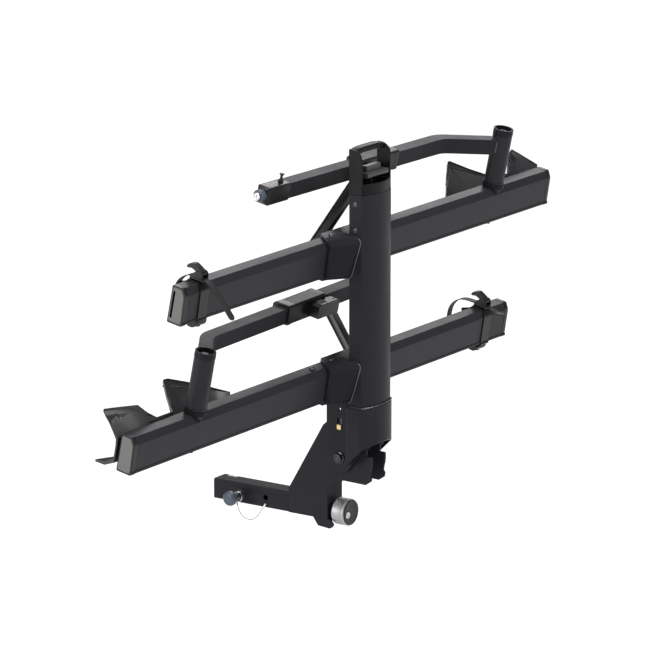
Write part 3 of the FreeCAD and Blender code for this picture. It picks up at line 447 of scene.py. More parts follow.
def box_cutter(low, high):
    """A box to carve with."""
    bm = bmesh.new()
    block(bm, low, high)
    return bm


def rod_cutter(radius, centre, axis, low, high):
    """A round bar to carve with."""
    bm = bmesh.new()
    turned(bm, [(radius, low), (radius, high)], centre, axis, 32)
    return bm


# ---------------------------------------------------------------- trays

def grown(outline, amount):
    """The tray's section grown or shrunk about its middle."""
    return [((a - 0.5) * (1 + amount / 20.5) + 0.5, b * (1 + amount / 44.0)) for a, b in outline]


def tray_pieces(side):
    """End rims with their face plates, the post's nut and the plug of the small hole on top."""
    axes = tray_axes(side)
    for tag, face, inward in TRAY_ENDS:
        bm = bmesh.new()
        slab(bm, rounded(grown(TRAY_PROFILE, 0.8), 4.0), "y", face + inward * 0.8, face + inward * 14)
        rim = finish_piece("end_rim_%s_%s" % (tag, side), bm, "mast", "black_plastic", axes, bevel=1.2,
                           replaces=("tray_end_caps_" + side,) if tag == "hub_end" else ())
        bm = bmesh.new()
        plate = rounded([(-17.6, 40.5), (5.5, 40.5), (14.0, 26.0), (16.6, -33.0), (14.5, -40.5), (-17.6, -40.5)],
                        5.0, 5)
        slab(bm, plate, "y", face, face + inward * 4.0)
        plate = finish_piece("end_plate_%s_%s" % (tag, side), bm, "mast", "grey_plastic", axes, bevel=0.7)
        cut = bmesh.new()
        if tag == "strap_end":
            slab(cut, rounded([(-15.6, 31.0), (-9.8, 33.0), (-9.8, -33.0), (-15.6, -31.0)], 2.2),
                 "y", face - 2, face + inward * 9)
            other = cut.copy()
            carve(plate, [(cut, axes.copy())])
            carve(rim, [(other, axes.copy())])
        else:
            slab(cut, rounded([(-8.0, 24.0), (7.0, 24.0), (9.0, -26.0), (-8.0, -26.0)], 4.0),
                 "y", face - 2, face + inward * 0.9)
            carve(plate, [(cut, axes.copy())])
    # nut of the post's stud, under the tray
    bm = bmesh.new()
    slab(bm, circle(11.0, 6, (0.0, HUB)), "z", -52.0, -44.6)
    finish_piece("post_nut_" + side, bm, "mast", "dark_steel", axes, bevel=0.8)
    # plug of the small hole on the top face, near the strap end
    bm = bmesh.new()
    turned(bm, [(0, 44.7), (2.6, 44.7), (3.4, 44.3), (3.6, 43.0)], (-13.0, -677.0, 0), (0, 0, 1), 20)
    finish_piece("cap_screw_" + side, bm, "mast", "dark_steel", axes)


# the cradle's wings: place along the tray, lip across, upper lip, lower lip, floor across
OUTER_WING = {
    "lower": [(882.6, -79.4, 83.4, -44.6, -30.0), (850.0, -70.5, 82.8, -44.6, -29.0),
              (812.0, -59.0, 82.0, -45.0, -27.5), (791.0, -52.5, 81.5, -45.0, -26.5),
              (766.0, -40.0, 62.0, -45.5, -25.0), (742.0, -28.5, 49.0, -45.8, -24.0)],
    "upper": [(882.6, -28.5, 47.4, -45.8, -23.0), (860.0, -44.5, 61.0, -45.6, -25.0),
              (836.0, -62.0, 75.5, -45.2, -27.0), (820.0, -73.5, 84.5, -45.0, -28.5),
              (800.0, -66.5, 83.4, -45.0, -28.0), (775.0, -55.5, 81.0, -45.0, -26.5),
              (757.0, -41.0, 64.0, -45.5, -25.0), (742.0, -28.5, 49.0, -45.8, -24.0)]}
INNER_WING = [(682.0, -28.5, 49.0, -45.8, -24.0), (660.0, -56.0, 56.0, -45.4, -26.0),
              (640.0, -79.0, 62.0, -45.0, -28.0), (603.0, -119.0, 77.0, -45.0, -43.0),
              (590.0, -116.0, 78.0, -45.0, -43.0), (556.0, -94.0, 71.5, -45.0, -38.0),
              (520.0, -71.0, 64.0, -45.0, -33.0), (488.0, -48.0, 55.0, -45.5, -28.0),
              (458.6, -27.5, 47.0, -45.8, -24.0)]


def wing_row(station):
    """Ring of points round the moulded V of a wing at one place, with a thick turned lip."""
    place, lip, high, low, floor = station
    deep = floor + 1.5
    waist = (lip + floor) * 0.5
    inner = [(lip, high - 7.0), (waist - 2.0, high * 0.62 + 3.0), (floor - 4.0, 26.0), (floor - 2.0, 12.0),
             (floor - 2.0, -12.0), (floor - 4.0, -24.0), (waist - 2.0, low + 9.0), (lip, low + 5.0)]
    outer = [(lip, low), (waist + 1.5, min(low + 1.0, -30.0)), (deep - 1.0, -30.0), (deep, -12.0), (deep, 12.0),
             (deep - 1.0, 30.0), (lip + 0.32 * (waist - lip) + 1.0, high - 0.42 * (high - 44.0)),
             (lip + 1.5, high - 5.6),
             (lip + 1.5, high), (lip, high)]
    return [(a, place, b) for a, b in inner + outer]


def cradle_pieces(side):
    """Moulded wheel cradle: two flared wings joined by a channel, with ribs inside the inner wing."""
    axes = tray_axes(side)
    shell = [wing_row(station) for station in OUTER_WING[side] + INNER_WING]
    bm = bmesh.new()
    rings(bm, shell)
    # the shell takes the lighter satin black, whose extra lightness is painted sheen
    finish_piece("cradle_" + side, bm, "mast", "black_plastic", axes, bevel=0.7, sharp=24,
                 replaces=("wheel_cradle_" + side,), material=SATIN_WITH_PAINTED_SHEEN)
    # painted shade: a thin dark sheet laid over the trough's inside faces, standing in for the shadow inside the
    # trough
    bm = bmesh.new()
    rows = []
    for row in shell:
        near, far = [[(a - d, place, b) for a, place, b in row[:8]] for d in (0.05, 0.5)]
        rows.append(near + list(reversed(far)))
    rings(bm, rows)
    finish_piece("cradle_painted_shade_" + side, bm, "mast", "black_plastic", axes)
    # stiffening ribs inside the inner wing, from the floor to the lip
    bm = bmesh.new()
    rib = rounded([(-1.6, -1.6), (1.6, -1.6), (0.9, 1.6), (-0.9, 1.6)], 0.7, 2)
    for spot in (0.36, 0.5, 0.64, 0.78):
        at = spot * (len(INNER_WING) - 1)
        k = int(at)
        t = at - k
        place, lip, high, _, floor = [a * (1 - t) + b * t for a, b in zip(INNER_WING[k], INNER_WING[k + 1])]
        run = [(lip - 0.2, place, high - 11.0), ((lip + floor) * 0.5 - 3.6, place, high * 0.62 + 1.0),
               (floor - 6.0, place, 24.0)]
        swept(bm, smooth_path(run, 4), rib, (-1, 0, 0.3))
    finish_piece("cradle_ribs_" + side, bm, "mast", "black_plastic", axes)
    # raised border of the satin outside face, below the lip where the wing is wide, with the same painted sheen
    bm = bmesh.new()
    line = [(lip + 0.32 * ((lip + floor) * 0.5 - lip) + 1.6, place, high - 0.42 * (high - 44.0))
            for place, lip, high, _, floor in INNER_WING if lip < -40.0]
    swept(bm, line, rounded([(-0.9, -0.9), (0.9, -0.9), (0.9, 0.9), (-0.9, 0.9)], 0.4, 2), (1, 0, 0.6))
    finish_piece("cradle_beads_" + side, bm, "mast", "black_plastic", axes, material=SATIN_WITH_PAINTED_SHEEN)


def arm_pieces(side):
    """Post base, pin and rings of the arm's hub, its weld, and the arm's tip with its peg and lock."""
    tray = tray_axes(side)
    axes = arm_axes(side)
    arm = "arm_" + side
    foot, up, along = (0, HUB, 0), (0, 0, 1), (0, 1, 0)
    # end ring and recessed cap at the top of the hub
    bm = bmesh.new()
    turned(bm, [(20.3, 183.0), (20.3, 195.2), (21.0, 196.0), (23.6, 196.0), (24.5, 195.0), (24.5, 189.0),
                (24.9, 188.4), (24.9, 181.0), (24.35, 180.4), (24.35, 183.0)],
           foot, up, 56)
    finish_piece("hub_ring_" + side, bm, arm, "frame_coat", axes, bevel=0.3, material=TRAY_COAT)
    bm = bmesh.new()
    turned(bm, [(0, 185.0), (13.5, 185.0), (14.5, 186.4), (18.2, 186.4), (19.9, 185.2), (19.9, 183.9), (14.8, 183.9),
                (14.8, 57.0), (0, 57.0)],
           foot, up, 48)
    finish_piece("post_pin_" + side, bm, "mast", "black_plastic", tray, bevel=0.3,
                 replaces=("arm_pivot_pins",) if side == "lower" else ())
    bm = bmesh.new()
    turned(bm, [(0, 188.0), (3.2, 188.0), (3.2, 190.4), (7.0, 190.4), (8.3, 188.6), (8.6, 185.2), (0, 185.2)],
           foot, up, 28)
    finish_piece("post_screw_" + side, bm, "mast", "dark_steel", tray, bevel=0.3)
    # bottom ring between hub and post base
    bm = bmesh.new()
    turned(bm, [(15.2, 55.6), (25.4, 55.6), (25.6, 57.2), (25.4, 59.8), (24.4, 60.0), (15.2, 60.0)], foot, up, 48)
    finish_piece("hub_foot_ring_" + side, bm, arm, "black_plastic", axes, bevel=0.3)
    # post base on the tray: a low collar whose front runs down the chamfer to a point
    bm = bmesh.new()
    turned(bm, [(15.2, 43.9), (26.6, 43.9), (26.6, 54.2), (25.6, 54.9), (15.2, 54.9)], foot, up, 48)
    point = bm.verts.new((17.9, HUB, 27.9))
    brim = [bm.verts.new((26.4 * math.cos(a), HUB + 26.4 * math.sin(a), 49.6))
            for a in (math.radians(d) for d in range(-75, 76, 15))]
    for a, b in zip(brim, brim[1:] + brim[:1]):
        bm.faces.new((a, b, point))
    bm.faces.new(list(reversed(brim)))
    finish_piece("post_base_" + side, bm, "mast", "frame_coat", tray, bevel=0.4,
                 replaces=("arm_post_bases",) if side == "lower" else ())
    # weld bead where the arm's rounded square section meets the round hub
    bm = bmesh.new()
    slant = math.radians(32.0)
    run = Vector((-math.sin(slant), -math.cos(slant), 0))
    sideways = Vector((math.cos(slant), -math.sin(slant), 0))
    loop = []
    for k in range(61):
        a = 2 * math.pi * k / 60
        across = max(-15.2, min(15.2, 19.5 * math.cos(a)))
        lift = max(-18.4, min(18.4, 22.56 * math.sin(a)))
        reach = math.sqrt(24.6 ** 2 - across ** 2)
        loop.append(Vector((0, HUB, ARM_MIDDLE + lift)) + run * reach + sideways * across)
    bead(bm, loop, 1.5)
    finish_piece("arm_weld_" + side, bm, arm, "frame_coat", axes, material=WELD)
    # moulded tip with a chamfered nose, hollow at its back end and bored for the lock
    bm = bmesh.new()
    left, right = TIP[0] - 18.2, TIP[0] + 18.2
    bottom, top = ARM_MIDDLE - 23.0, ARM_MIDDLE + 21.0
    rows = []
    for place, shrink in ((-165.2, 0.6), (-168.0, 0.0), (-247.0, 0.0), (-254.0, 6.0)):
        outline = rounded([(left + shrink, bottom + shrink), (right - shrink, bottom + shrink),
                           (right - shrink, top - shrink), (left + shrink, top - shrink)], 5.0, 4)
        rows.append([(a, place, b) for a, b in outline])
    rings(bm, rows)
    tip = finish_piece("arm_tip_" + side, bm, arm, "black_plastic", axes, bevel=0.6, sharp=25,
                       replaces=("arm_tip_cap_" + side,))
    carve(tip, [(rod_cutter(8.1, TIP, along, -4, 35), axes.copy()),
                (box_cutter((-105.9, -172.0, ARM_MIDDLE - 18.9), (-74.1, -160.0, ARM_MIDDLE + 18.9)), axes.copy())])
    # T-headed peg on the tip
    bm = bmesh.new()
    turned(bm, [(6.4, 0.0), (6.0, 5.0), (3.4, 6.5), (3.0, 16.0), (5.0, 17.4), (6.0, 19.0), (5.4, 20.8), (0, 21.2)],
           (TIP[0], -184, top - 0.3), up, 24)
    finish_piece("arm_peg_" + side, bm, arm, "black_plastic", axes, bevel=0.2)
    # cable lock: its ring, and its core with the key slot
    bm = bmesh.new()
    turned(bm, [(7.9, 30.0), (7.9, -0.6), (14.0, -0.6), (15.0, -2.0), (15.0, -12.6), (13.6, -14.5), (10.8, -14.8),
                (10.6, -16.0), (0, -16.0)],
           TIP, along, 44)
    finish_piece("lock_ring_" + side, bm, "tip_lock_body_" + side, "blue_grey", axes, bevel=0.3,
                 replaces=("tip_lock_" + side,))
    bm = bmesh.new()
    turned(bm, [(9.2, -14.0), (9.6, -20.8), (8.6, -22.4), (6.4, -22.4), (6.0, -21.4), (0, -21.4)], TIP, along, 36)
    core = finish_piece("lock_core_" + side, bm, "tip_lock_body_" + side, "bright_steel", axes, bevel=0.2)
    carve(core, [(box_cutter((-90.8, -278.0, ARM_MIDDLE - 4.2), (-89.2, -273.5, ARM_MIDDLE + 4.2)), axes.copy())])


def bead(bm, loop, radius):
    """A weld bead: a rippled tube along a line."""
    loop = [Vector(p) for p in loop]
    length = [0.0]
    for a, b in zip(loop, loop[1:]):
        length.append(length[-1] + (b - a).length)
    steps = max(6, int(length[-1] / 1.1))
    rows = []
    for step in range(steps + 1):
        want = length[-1] * step / steps
        k = max(i for i in range(len(length) - 1) if length[i] <= want + 1e-9)
        span = length[k + 1] - length[k]
        point = loop[k].lerp(loop[k + 1], (want - length[k]) / span if span > 0 else 0)
        ahead = (loop[min(k + 1, len(loop) - 1)] - loop[k]).normalized()
        side = ahead.orthogonal().normalized()
        other = ahead.cross(side)
        size = radius * (0.86 + 0.2 * abs(math.sin(want * 1.25)))
        rows.append([point + (side * a + other * b) * size for a, b in circle(1.0, 8)])
    rings(bm, rows)


def slider_pieces(side):
    """Tyre hook carriage: housing with a ribbed pad, side pocket, button and hook."""
    axes = arm_axes(side)
    start = SLIDER_START[side]
    end = start + SLIDER_LENGTH
    body = "hook_" + side
    high, low = 177.0, 128.0
    bm = bmesh.new()
    section = rounded([(-117.0, low + 1), (-69.4, low + 1), (-69.4, high - 3), (-74.0, high - 0.5),
                       (-110.0, high - 0.5), (-117.0, high - 6)], 3.0, 3)
    slab(bm, section, "y", start + 0.2, end - 0.2)
    # the side pocket that holds the release
    pocket = rounded([(start - 29.5, 131.0), (start + 61.0, 131.0), (start + 61.0, 160.0), (start + 52.0, 166.4),
                      (start - 22.0, 166.4), (start - 29.5, 160.0)], 4.0, 3)
    slab(bm, pocket, "x", -73.2, -45.4)
    housing = finish_piece("slider_housing_" + side, bm, body, "black_plastic", axes, bevel=1.2,
                           replaces=("hook_slider_" + side,))
    carve(housing, [(box_cutter((-106.4, start - 40, 131.6), (-73.6, end + 20, 170.4)), axes.copy()),
                    (box_cutter((-68.4, start + 19.6, 153.6), (-51.6, start + 44.4, 175.0)), axes.copy()),
                    (box_cutter((-70.0, start - 24.0, 162.5), (-67.0, start - 8.0, 168.0)), axes.copy()),
                    (box_cutter((-55.0, start - 24.0, 162.5), (-52.0, start - 8.0, 168.0)), axes.copy())])
    # ribs along the top pad
    bm = bmesh.new()
    for k in range(9):
        across = -107.0 + 4.2 * k
        slab(bm, rounded([(across - 1.2, high - 1.0), (across + 1.2, high - 1.0), (across + 0.8, high + 0.05),
                          (across - 0.8, high + 0.05)], 0.4, 2),
             "y", start + 16.0, end - 30.0)
    finish_piece("slider_ribs_" + side, bm, body, "black_plastic", axes)
    # stepped collar at each end
    bm = bmesh.new()
    for place, wide in ((start + 1.5, 9.0), (end - 16.0, 14.0)):
        outline = rounded([(-117.6, low), (-68.9, low), (-68.9, high - 2.5), (-73.6, high), (-110.4, high),
                           (-117.6, high - 5.5)], 3.0, 3)
        slab(bm, outline, "y", place, place + wide)
    collar = finish_piece("slider_collars_" + side, bm, body, "black_plastic", axes, bevel=0.8)
    carve(collar, [(box_cutter((-106.6, start - 40, 131.4), (-73.4, end + 20, 170.6)), axes.copy())])
    # release button with four ridges
    bm = bmesh.new()
    slab(bm, rounded([(-68.0, start + 20.0), (-52.0, start + 20.0), (-52.0, start + 44.0), (-68.0, start + 44.0)],
                     2.0), "z", 158.5, 167.4)
    for k in range(4):
        ridge = start + 23.4 + 5 * k
        block(bm, (-66.0, ridge, 167.0), (-54.0, ridge + 1.8, 168.4))
    finish_piece("release_button_" + side, bm, "button_" + side, "grey_plastic", axes, bevel=0.4,
                 replaces=("slider_button_" + side,))
    # the hook: a channelled bar that runs down from the housing to a rounded toe
    place = start - 14.0
    drop = place - 180.0
    bm = bmesh.new()
    line = [(-63.0, place + ahead, lift) for ahead, lift in
            ((3.0, 144.0), (-6.0, 132.0), (-60.0, 78.0), (-120.0, 18.0), (-177.0, -38.0))]
    channel = rounded([(-13, -8.4), (-9, -8.4), (-9, -5), (9, -5), (9, -8.4), (13, -8.4),
                       (13, 8.4), (9, 8.4), (9, 5), (-9, 5), (-9, 8.4), (-13, 8.4)], 1.0, 2)
    swept(bm, smooth_path(line, 5), channel, (0, -0.7, 0.7))
    slab(bm, rounded([(drop - 25.6, -51.6), (drop + 12.0, -51.6), (drop + 17.0, -42.0), (drop + 4.0, -30.0),
                      (drop - 10.0, -36.0), (drop - 25.6, -44.0)], 5.0, 4),
         "x", -75.8, -50.2)
    hook = finish_piece("hook_bar_" + side, bm, body, "black_plastic", axes, bevel=0.7, sharp=28,
                        replaces=("tyre_hook_" + side,))
    carve(hook, [(box_cutter((-107.0, start - 80.0, 131.6), (-73.6, start + 40.0, 171.0)), axes.copy())])


def strap_pieces(side):
    """Rear wheel strap: carriage band, scoop, clamp, buckle with its lever and pin, and ladder strap."""
    axes = tray_axes(side)
    middle = STRAP_PLACE[side]
    low, high = middle - 17.0, middle + 17.0
    body = "strap_set_" + side
    bm = bmesh.new()
    outer = rounded(grown(TRAY_PROFILE, 3.2), 4.0)
    inner = rounded(grown(TRAY_PROFILE, 0.7), 4.0)
    rings(bm, [[(a, place, b) for a, b in outline] for place, outline in
               ((low + 0.3, inner), (low + 0.3, outer), (high - 0.3, outer), (high - 0.3, inner))], closed=True)
    block(bm, (-16.0, middle - 9, 46.6), (10.0, middle + 9, 48.4))
    finish_piece("strap_band_" + side, bm, body, "black_plastic", axes, bevel=0.7,
                 replaces=("strap_carriage_" + side,))
    # scoop for the tyre on the band's wheel side
    bm = bmesh.new()
    rows = []
    for place, lip, spread in ((low - 16.6, -35.0, 42.0), (low, -31.0, 40.0), (middle, -29.5, 38.5),
                               (high, -31.0, 40.0), (high + 25.6, -36.0, 43.0)):
        inner = [(lip, spread - 3.0), (-27.5, 24.0), (-25.6, 12.0), (-25.6, -12.0), (-27.5, -24.0),
                 (lip, -spread + 3.0)]
        outer = [(lip + 0.4, -spread), (-24.6, -27.0), (-23.3, -12.0), (-23.3, 12.0), (-24.6, 27.0),
                 (lip + 0.4, spread)]
        rows.append([(a, place, b) for a, b in inner + outer])
    rings(bm, rows)
    finish_piece("strap_scoop_" + side, bm, body, "black_plastic", axes, bevel=0.7, sharp=24)
    # clamp under the tray with its screw boss
    bm = bmesh.new()
    slab(bm, rounded([(-8.0, -46.8), (21.0, -46.8), (19.0, -56.0), (10.0, -61.6), (-2.0, -61.6), (-8.0, -56.0)], 3.0),
         "y", low + 2, high + 8)
    turned(bm, [(0, 0.0), (8.5, 0.0), (9.4, 1.4), (9.4, 9.0)], (6.0, high - 10.0, -61.9), (0, 0, 1), 30)
    finish_piece("strap_clamp_" + side, bm, body, "black_plastic", axes, bevel=0.8)
    # buckle base and ears
    floor = 48.4
    bm = bmesh.new()
    block(bm, (-20.0, middle - 13, floor), (14.0, middle + 13, floor + 3.0))
    for sign in (-1, 1):
        a, b = sorted((middle + sign * 13.0, middle + sign * 10.4))
        slab(bm, rounded([(-20.0, floor), (14.0, floor), (13.6, floor + 14), (11.0, floor + 20.5),
                          (5.0, floor + 23.8), (-5.0, floor + 21.6), (-13.0, floor + 15), (-20.0, floor + 8)], 2.5),
             "y", a, b)
    block(bm, (-20.0, middle - 11, floor + 8.0), (-15.0, middle + 11, floor + 10.0))
    finish_piece("buckle_base_" + side, bm, body, "black_plastic", axes, bevel=0.6,
                 replaces=("strap_buckle_" + side,))
    # lever with a thumb lip, on its cross pin
    bm = bmesh.new()
    shape = rounded([(-32.4, floor + 21.0), (-34.8, floor + 25.4), (-28.4, floor + 32.2), (-17.5, floor + 35.2),
                     (-4.0, floor + 29.2), (9.0, floor + 21.8), (12.0, floor + 18.6), (10.8, floor + 14.2),
                     (5.0, floor + 12.0), (-3.0, floor + 14.0), (-9.0, floor + 19.5), (-20.0, floor + 23.6)], 2.5)
    slab(bm, shape, "y", middle - 9.6, middle + 9.6)
    finish_piece("buckle_grip_" + side, bm, "buckle_" + side, "black_plastic", axes, bevel=0.6,
                 replaces=("buckle_lever_" + side,))
    bm = bmesh.new()
    for sign in (-1, 1):
        turned(bm, [(0, 9.0), (2.4, 9.0), (2.4, 12.9), (0, 12.9)], (6.0, middle, floor + 17), (0, sign, 0), 20)
    finish_piece("buckle_pin_" + side, bm, "buckle_" + side, "bright_steel", axes, bevel=0.3)
    # ladder strap: a thin web between two rails, teeth across it and a rounded tip
    through = floor + 5.6
    half, tip = 9.8, 9.0
    line = STRAP_LOOP[side] + [(-24.0, through - 0.3), (-8.0, through), (12.0, through)] + STRAP_TAIL[side]
    path = smooth_path([(a, middle, b) for a, b in line], 6)
    bm = bmesh.new()
    rows = []
    for k, point in enumerate(path):
        ahead = (path[min(k + 1, len(path) - 1)] - path[max(k - 1, 0)]).normalized()
        lift = Vector((0, 1, 0)).cross(ahead)
        left = (path[-1] - point).length
        narrow = 1.0 if left > tip else math.sqrt(max(0.08, 1 - ((tip - left) / tip) ** 2))
        rows.append([point + Vector((0, y * narrow, 0)) - lift * z for y, z in
                     ((-half, -1.0), (half, -1.0), (half, 1.0), (7.9, 1.0),
                      (7.6, 0.3), (-7.6, 0.3), (-7.9, 1.0), (-half, 1.0))])
    rings(bm, rows)
    total = sum((b - a).length for a, b in zip(path, path[1:]))
    gone, left = 0.0, total
    for a, b in zip(path, path[1:]):
        span = (b - a).length
        ahead = (b - a).normalized()
        lift = ahead.cross(Vector((0, 1, 0)))
        while gone < span:
            centre = a + ahead * gone
            if min(total - left + gone, left - gone) > 12.0:
                corners = [centre + ahead * x - lift * z
                           for x, z in ((-1.5, 0.2), (1.3, 0.2), (0.9, 1.3), (0.3, 1.3))]
                rings(bm, [[c + Vector((0, y, 0)) for c in corners] for y in (-7.5, 7.5)])
            gone += TOOTH_PITCH
        gone -= span
        left -= span
    finish_piece("ladder_strap_" + side, bm, body, "strap_plastic", axes, replaces=("wheel_strap_" + side,))


# ---------------------------------------------------------------- bracket

def bracket_pieces():
    """Knob, hitch pin, lock yoke, return spring and pivot heads."""
    # knurled ring: fine straight knurl between two smooth lands, as (place, radius, knurled)
    bm = bmesh.new()
    teeth = 84
    rows = []
    for place, radius, deep in ((262.0, 31.4, 0), (263.4, 32.6, 0), (266.0, 32.9, 0), (267.0, 32.9, 1),
                                (290.0, 32.9, 1), (291.0, 32.9, 0), (295.4, 32.7, 0), (297.0, 31.6, 0),
                                (297.0, 27.2, 0), (290.0, 26.6, 0), (276.0, 26.6, 0), (276.0, 5.6, 0),
                                (268.0, 5.6, 0), (268.0, 26.6, 0), (262.0, 27.0, 0)):
        row = []
        for k in range(teeth * 2):
            r = radius - (0.55 if deep and k % 2 else 0.0)
            a = math.pi * k / teeth
            row.append((place, r * math.cos(a), KNOB_AXIS[2] + r * math.sin(a)))
        rows.append(row)
    rings(bm, rows, closed=True)
    finish_piece("knob_band", bm, "knob", "knurled_aluminium", ROW, sharp=40, replaces=("knob_ring",))
    # its plastic face, bored for the lock core
    bm = bmesh.new()
    turned(bm, [(26.4, 290.2), (26.4, 297.1), (30.6, 297.1), (31.0, 297.6), (30.6, 299.4), (28.6, 299.9),
                (26.0, 299.5), (12.0, 299.2), (0, 299.2)],
           KNOB_AXIS, (1, 0, 0), 72)
    cap = finish_piece("knob_face", bm, "knob", "black_plastic", ROW, bevel=0.2, replaces=("knob_cap",))
    carve(cap, [(rod_cutter(8.7, KNOB_LOCK, (1, 0, 0), 288, 310), ROW)])
    bm = bmesh.new()
    turned(bm, [(8.4, 291.2), (8.4, 300.2), (7.6, 301.1), (5.4, 301.1), (5.0, 300.2), (0, 300.2)],
           KNOB_LOCK, (1, 0, 0), 36)
    core = finish_piece("knob_core", bm, "knob_lock", "bright_steel", ROW, bevel=0.2, replaces=("knob_lock_core",))
    carve(core, [(box_cutter((299.0, -16.2, -12.4), (303.0, -14.8, -5.6)), ROW)])
    # hitch pin: mushroom head with a shallow dimple, stepped shank and dark neck
    bm = bmesh.new()
    turned(bm, [(0, -88.0), (4.0, -88.2), (9.0, -88.9), (13.5, -88.0), (17.0, -85.0), (18.4, -80.5), (18.3, -76.5),
                (16.4, -72.5), (13.0, -68.0), (10.8, -62.5), (9.6, -59.2), (8.1, -59.2), (8.1, -70.0), (0, -70.0)],
           (0, 0, 0), (0, 1, 0), 48)
    finish_piece("pin_knob", bm, "hitch_pin_set", "blue_grey", ROW, bevel=0.2, sharp=50, replaces=("pin_head",))
    bm = bmesh.new()
    turned(bm, [(0, -60.0), (7.9, -60.0), (7.9, 26.4), (7.0, 26.5), (7.0, 45.0), (4.8, 49.4), (4.4, 49.9), (0, 49.9)],
           (0, 0, 0), (0, 1, 0), 40)
    finish_piece("pin_shank", bm, "hitch_pin_set", "bright_steel", ROW, bevel=0.2, replaces=("hitch_pin",))
    bm = bmesh.new()
    turned(bm, [(7.92, -58.8), (8.6, -58.8), (8.8, -50.0), (8.4, -42.0), (11.2, -41.4), (12.4, -40.2), (12.4, -37.8),
                (11.8, -37.1), (7.92, -37.0)], (0, 0, 0), (0, 1, 0), 40)
    finish_piece("pin_neck", bm, "hitch_pin_set", "dark_steel", ROW, bevel=0.2)
    # lock bar: zinc tabs that stand out of the slots, on a dark yoke
    for name, look, boxes in (
            ("lock_yoke", "dark_steel", [((287.5, -35.9, 227.5), (299.5, 35.9, 238.5)),
                                         ((287.5, -8.0, 238.5), (360.0, 8.0, 246.5)),
                                         ((287.5, -35.9, 208.5), (299.5, -31.9, 228.0)),
                                         ((287.5, 31.9, 208.5), (299.5, 35.9, 228.0))]),
            ("lock_tabs", "yellow_zinc", [((287.6, -45.8, 208.6), (299.4, -31.9, 220.4)),
                                          ((287.6, 31.9, 208.6), (299.4, 45.8, 220.4))])):
        bm = bmesh.new()
        for low, high in boxes:
            block(bm, low, high)
        finish_piece(name, bm, "release", look, ROW, bevel=0.8, replaces=("lock_bar",) if name == "lock_tabs" else ())
    # return spring on the release rod, drawn as one fixed coil; pulling the handle squeezes it against its seat
    bm = bmesh.new()
    turns, steps = 9, 24
    turn = circle(7.2, steps, (352.0, 0.0))
    coil = [(*turn[k % steps], 306.5 + 47.0 * k / (turns * steps)) for k in range(turns * steps + 1)]
    swept(bm, coil, circle(1.1, 8), (0, 0, 1))
    spring = finish_piece("return_spring", bm, "mast", "bright_steel", ROW, sharp=60, replaces=("lock_spring",))
    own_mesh(spring)
    # the pivot bolt's domed heads with their hexagon sockets
    pivot_x, pivot_z = 293.5, 139.5
    for sign, tag in ((-1, "near"), (1, "far")):
        bm = bmesh.new()
        turned(bm, [(0, 53.2), (6.0, 53.2), (9.0, 52.6), (10.6, 50.4), (11.2, 46.4), (14.6, 45.4), (15.0, 44.4),
                    (14.6, 42.6), (6.2, 42.6), (6.2, 50.0), (0, 50.0)],
               (pivot_x, 0, pivot_z), (0, sign, 0), 44)
        head = finish_piece("pivot_head_" + tag, bm, "bracket", "dark_steel", ROW, bevel=0.3, material=BOLT_BLUE)
        hexed = bmesh.new()
        slab(hexed, circle(4.6, 6, (pivot_x, pivot_z)), "y", *sorted((sign * 49.6, sign * 56.0)))
        carve(head, [(hexed, ROW.copy())])


def tether():
    """Wire tether of the hitch pin: one smooth line between the pin's ring and the ferrule."""
    route = [(-3.0, -19.0), (2.5, -37.0), (12.5, -50.0), (27.0, -57.5), (43.0, -54.5), (55.0, -42.5), (63.0, -27.0)]
    data = bpy.data.curves.new("tether_wire", "CURVE")
    data.dimensions = "3D"
    data.bevel_depth = 0.9 * MM
    data.bevel_resolution = 3
    spline = data.splines.new("NURBS")
    spline.points.add(len(route) - 1)
    for k, (x, z) in enumerate(route):
        y = -47.0 + 14.0 * (k / (len(route) - 1)) ** 2
        spline.points[k].co = (x * MM, y * MM, z * MM, 1.0)
    spline.order_u = 3
    spline.use_endpoint_u = True
    wire = bpy.data.objects.new("tether_wire", data)
    bpy.context.scene.collection.objects.link(wire)
    data.materials.append(LOOKS["wire"])
    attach(wire, "bracket")
    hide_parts("pin_tether")


# ---------------------------------------------------------------- mast

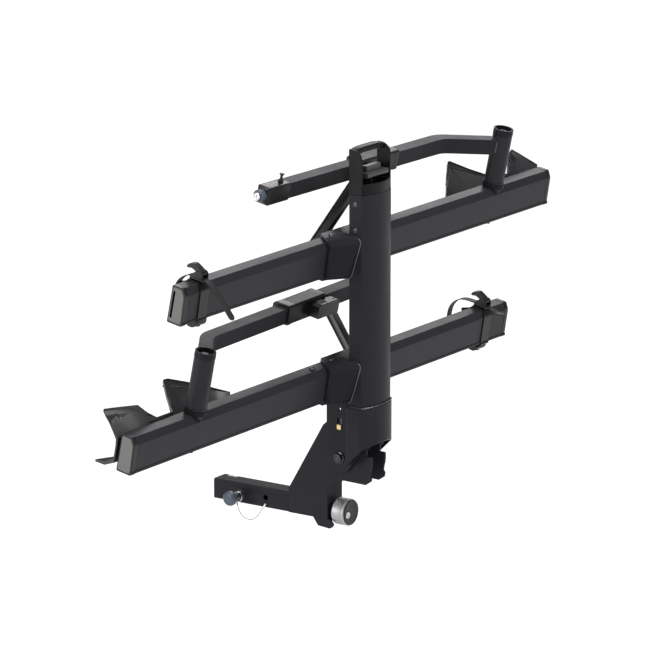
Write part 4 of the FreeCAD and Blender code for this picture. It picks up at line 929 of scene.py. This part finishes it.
def mast_pieces():
    """Screw heads, socket bolts and weld beads of the folding mast."""
    # screw heads on both sides
    bm = bmesh.new()
    for x, z in ((351.0, 765.0), (351.0, 702.0)):
        for sign in (-1, 1):
            turned(bm, [(0, 64.6), (2.6, 64.6), (2.6, 63.1), (2.7, 64.9), (5.2, 64.7), (6.6, 63.4), (6.9, 62.4),
                        (3.0, 62.4), (3.0, 59.5), (0, 59.5)],
                   (x, 0, z), (0, sign, 0), 28)
    finish_piece("mast_screws", bm, "mast", "dark_steel", ROW, replaces=("frame_bolts",))
    # bolts on top of the trays' sockets; the lower tray's own axes run the other way
    for side, hand, spots in (("lower", -1.0, ((-2.0, -78.0, 50.2), (-4.0, -156.0, 44.2))),
                              ("upper", 1.0, ((-2.0, -78.0, 50.2),))):
        bm = bmesh.new()
        for across, place, lift in spots:
            turned(bm, [(0, 2.4), (2.4, 2.4), (2.4, 4.4), (5.0, 4.2), (7.0, 2.6), (7.7, 0.4), (7.7, 0.0), (0, 0.0)],
                   (across, hand * place, lift), (0, 0, 1), 28)
        finish_piece("socket_bolts_" + side, bm, "mast", "dark_steel", tray_axes(side))
    # collar weld: a rippled bead round the collar's top edge
    bm = bmesh.new()
    loop = []
    for k in range(25):
        y = 61.5 * math.sin(math.pi * (k / 24 - 0.5))
        x = MAST_FRONT + MAST_BOW * (1 - (y / 61.0) ** 2) + 2.4
        loop.append((min(x, 386.2), y * 1.022, 274.4))
    ends = [(334.0, -64.2, 274.6), (352.0, -64.3, 274.6), (366.0, -64.2, 274.4)]
    loop = ends + loop + [(x, -y, z) for x, y, z in reversed(ends)]
    bead(bm, loop, 2.1)
    finish_piece("collar_weld", bm, "mast", "frame_coat", ROW, material=WELD)
    # beads where each socket's flare meets the mast's near side
    for side, lift in (("upper", 301.3), ("lower", 0.0)):
        bm = bmesh.new()
        outline = [(333.5, 381.0), (350.0, 384.4), (361.0, 383.4), (366.6, 377.5), (365.5, 368.0), (360.0, 350.0),
                   (354.0, 330.0), (348.0, 311.0), (340.5, 289.0), (333.5, 284.4)]
        bead(bm, [(x, -63.4, z + lift) for x, z in outline], 1.7)
        finish_piece("socket_weld_" + side, bm, "mast", "frame_coat", ROW, material=WELD)


def cap_outline(inset):
    """The D section of the cap's ring between its side walls, drawn in by an inset."""
    half = 57.6 - inset
    front = [(369.6 + 13.6 * (1 - (k / 8.0) ** 2) - inset, half * k / 8.0) for k in range(-8, 9)]
    return [(332.9 + inset, -half)] + front + [(332.9 + inset, half)]


def cap_pieces():
    """Moulded cap: a low ring, two side walls rounded over at the front, and a crowned bridge between them."""
    bm = bmesh.new()
    outer, inner = cap_outline(0.0), cap_outline(4.6)
    rings(bm, [[(x, y, z) for x, y in outline] for outline, z in
               ((outer, 787.2), (outer, 811.8), (cap_outline(1.0), 812.8), (cap_outline(3.6), 812.8), (inner, 811.8),
                (inner, 798.0))])
    wall = [(332.3, 787.2), (368.4, 787.2), (368.4, 866.0), (367.4, 874.0), (363.9, 882.0), (358.0, 889.0),
            (350.0, 893.6), (341.0, 895.2), (332.3, 895.2)]
    for sign in (-1, 1):
        rings(bm, [[(x, sign * y, z) for x, z in wall] for y in (56.8, 62.1)])
    # crowned bridge at the top
    rows = []
    for k in range(-10, 11):
        y = 61.0 * k / 10.0
        top = 899.5 - 5.5 * (k / 10.0) ** 4
        section = rounded([(332.6, top - 0.6), (350.6, top - 2.4), (352.4, top - 15.5), (332.6, top - 13.0)], 1.2, 2)
        rows.append([(x, y, z) for x, z in section])
    rings(bm, rows)
    # back wall, below the opening
    block(bm, (332.6, -57.2, 806.0), (338.4, 57.2, 846.0))
    finish_piece("cap_shell", bm, "mast", "black_plastic", ROW, bevel=0.8, sharp=28, replaces=("mast_cap",),
                 material=CAP_SATIN)


dress_cad_nodes()
for side in SIDES:
    tray_pieces(side)
    cradle_pieces(side)
    arm_pieces(side)
    slider_pieces(side)
    strap_pieces(side)
bracket_pieces()
tether()
mast_pieces()
cap_pieces()
add_studio()
add_camera()
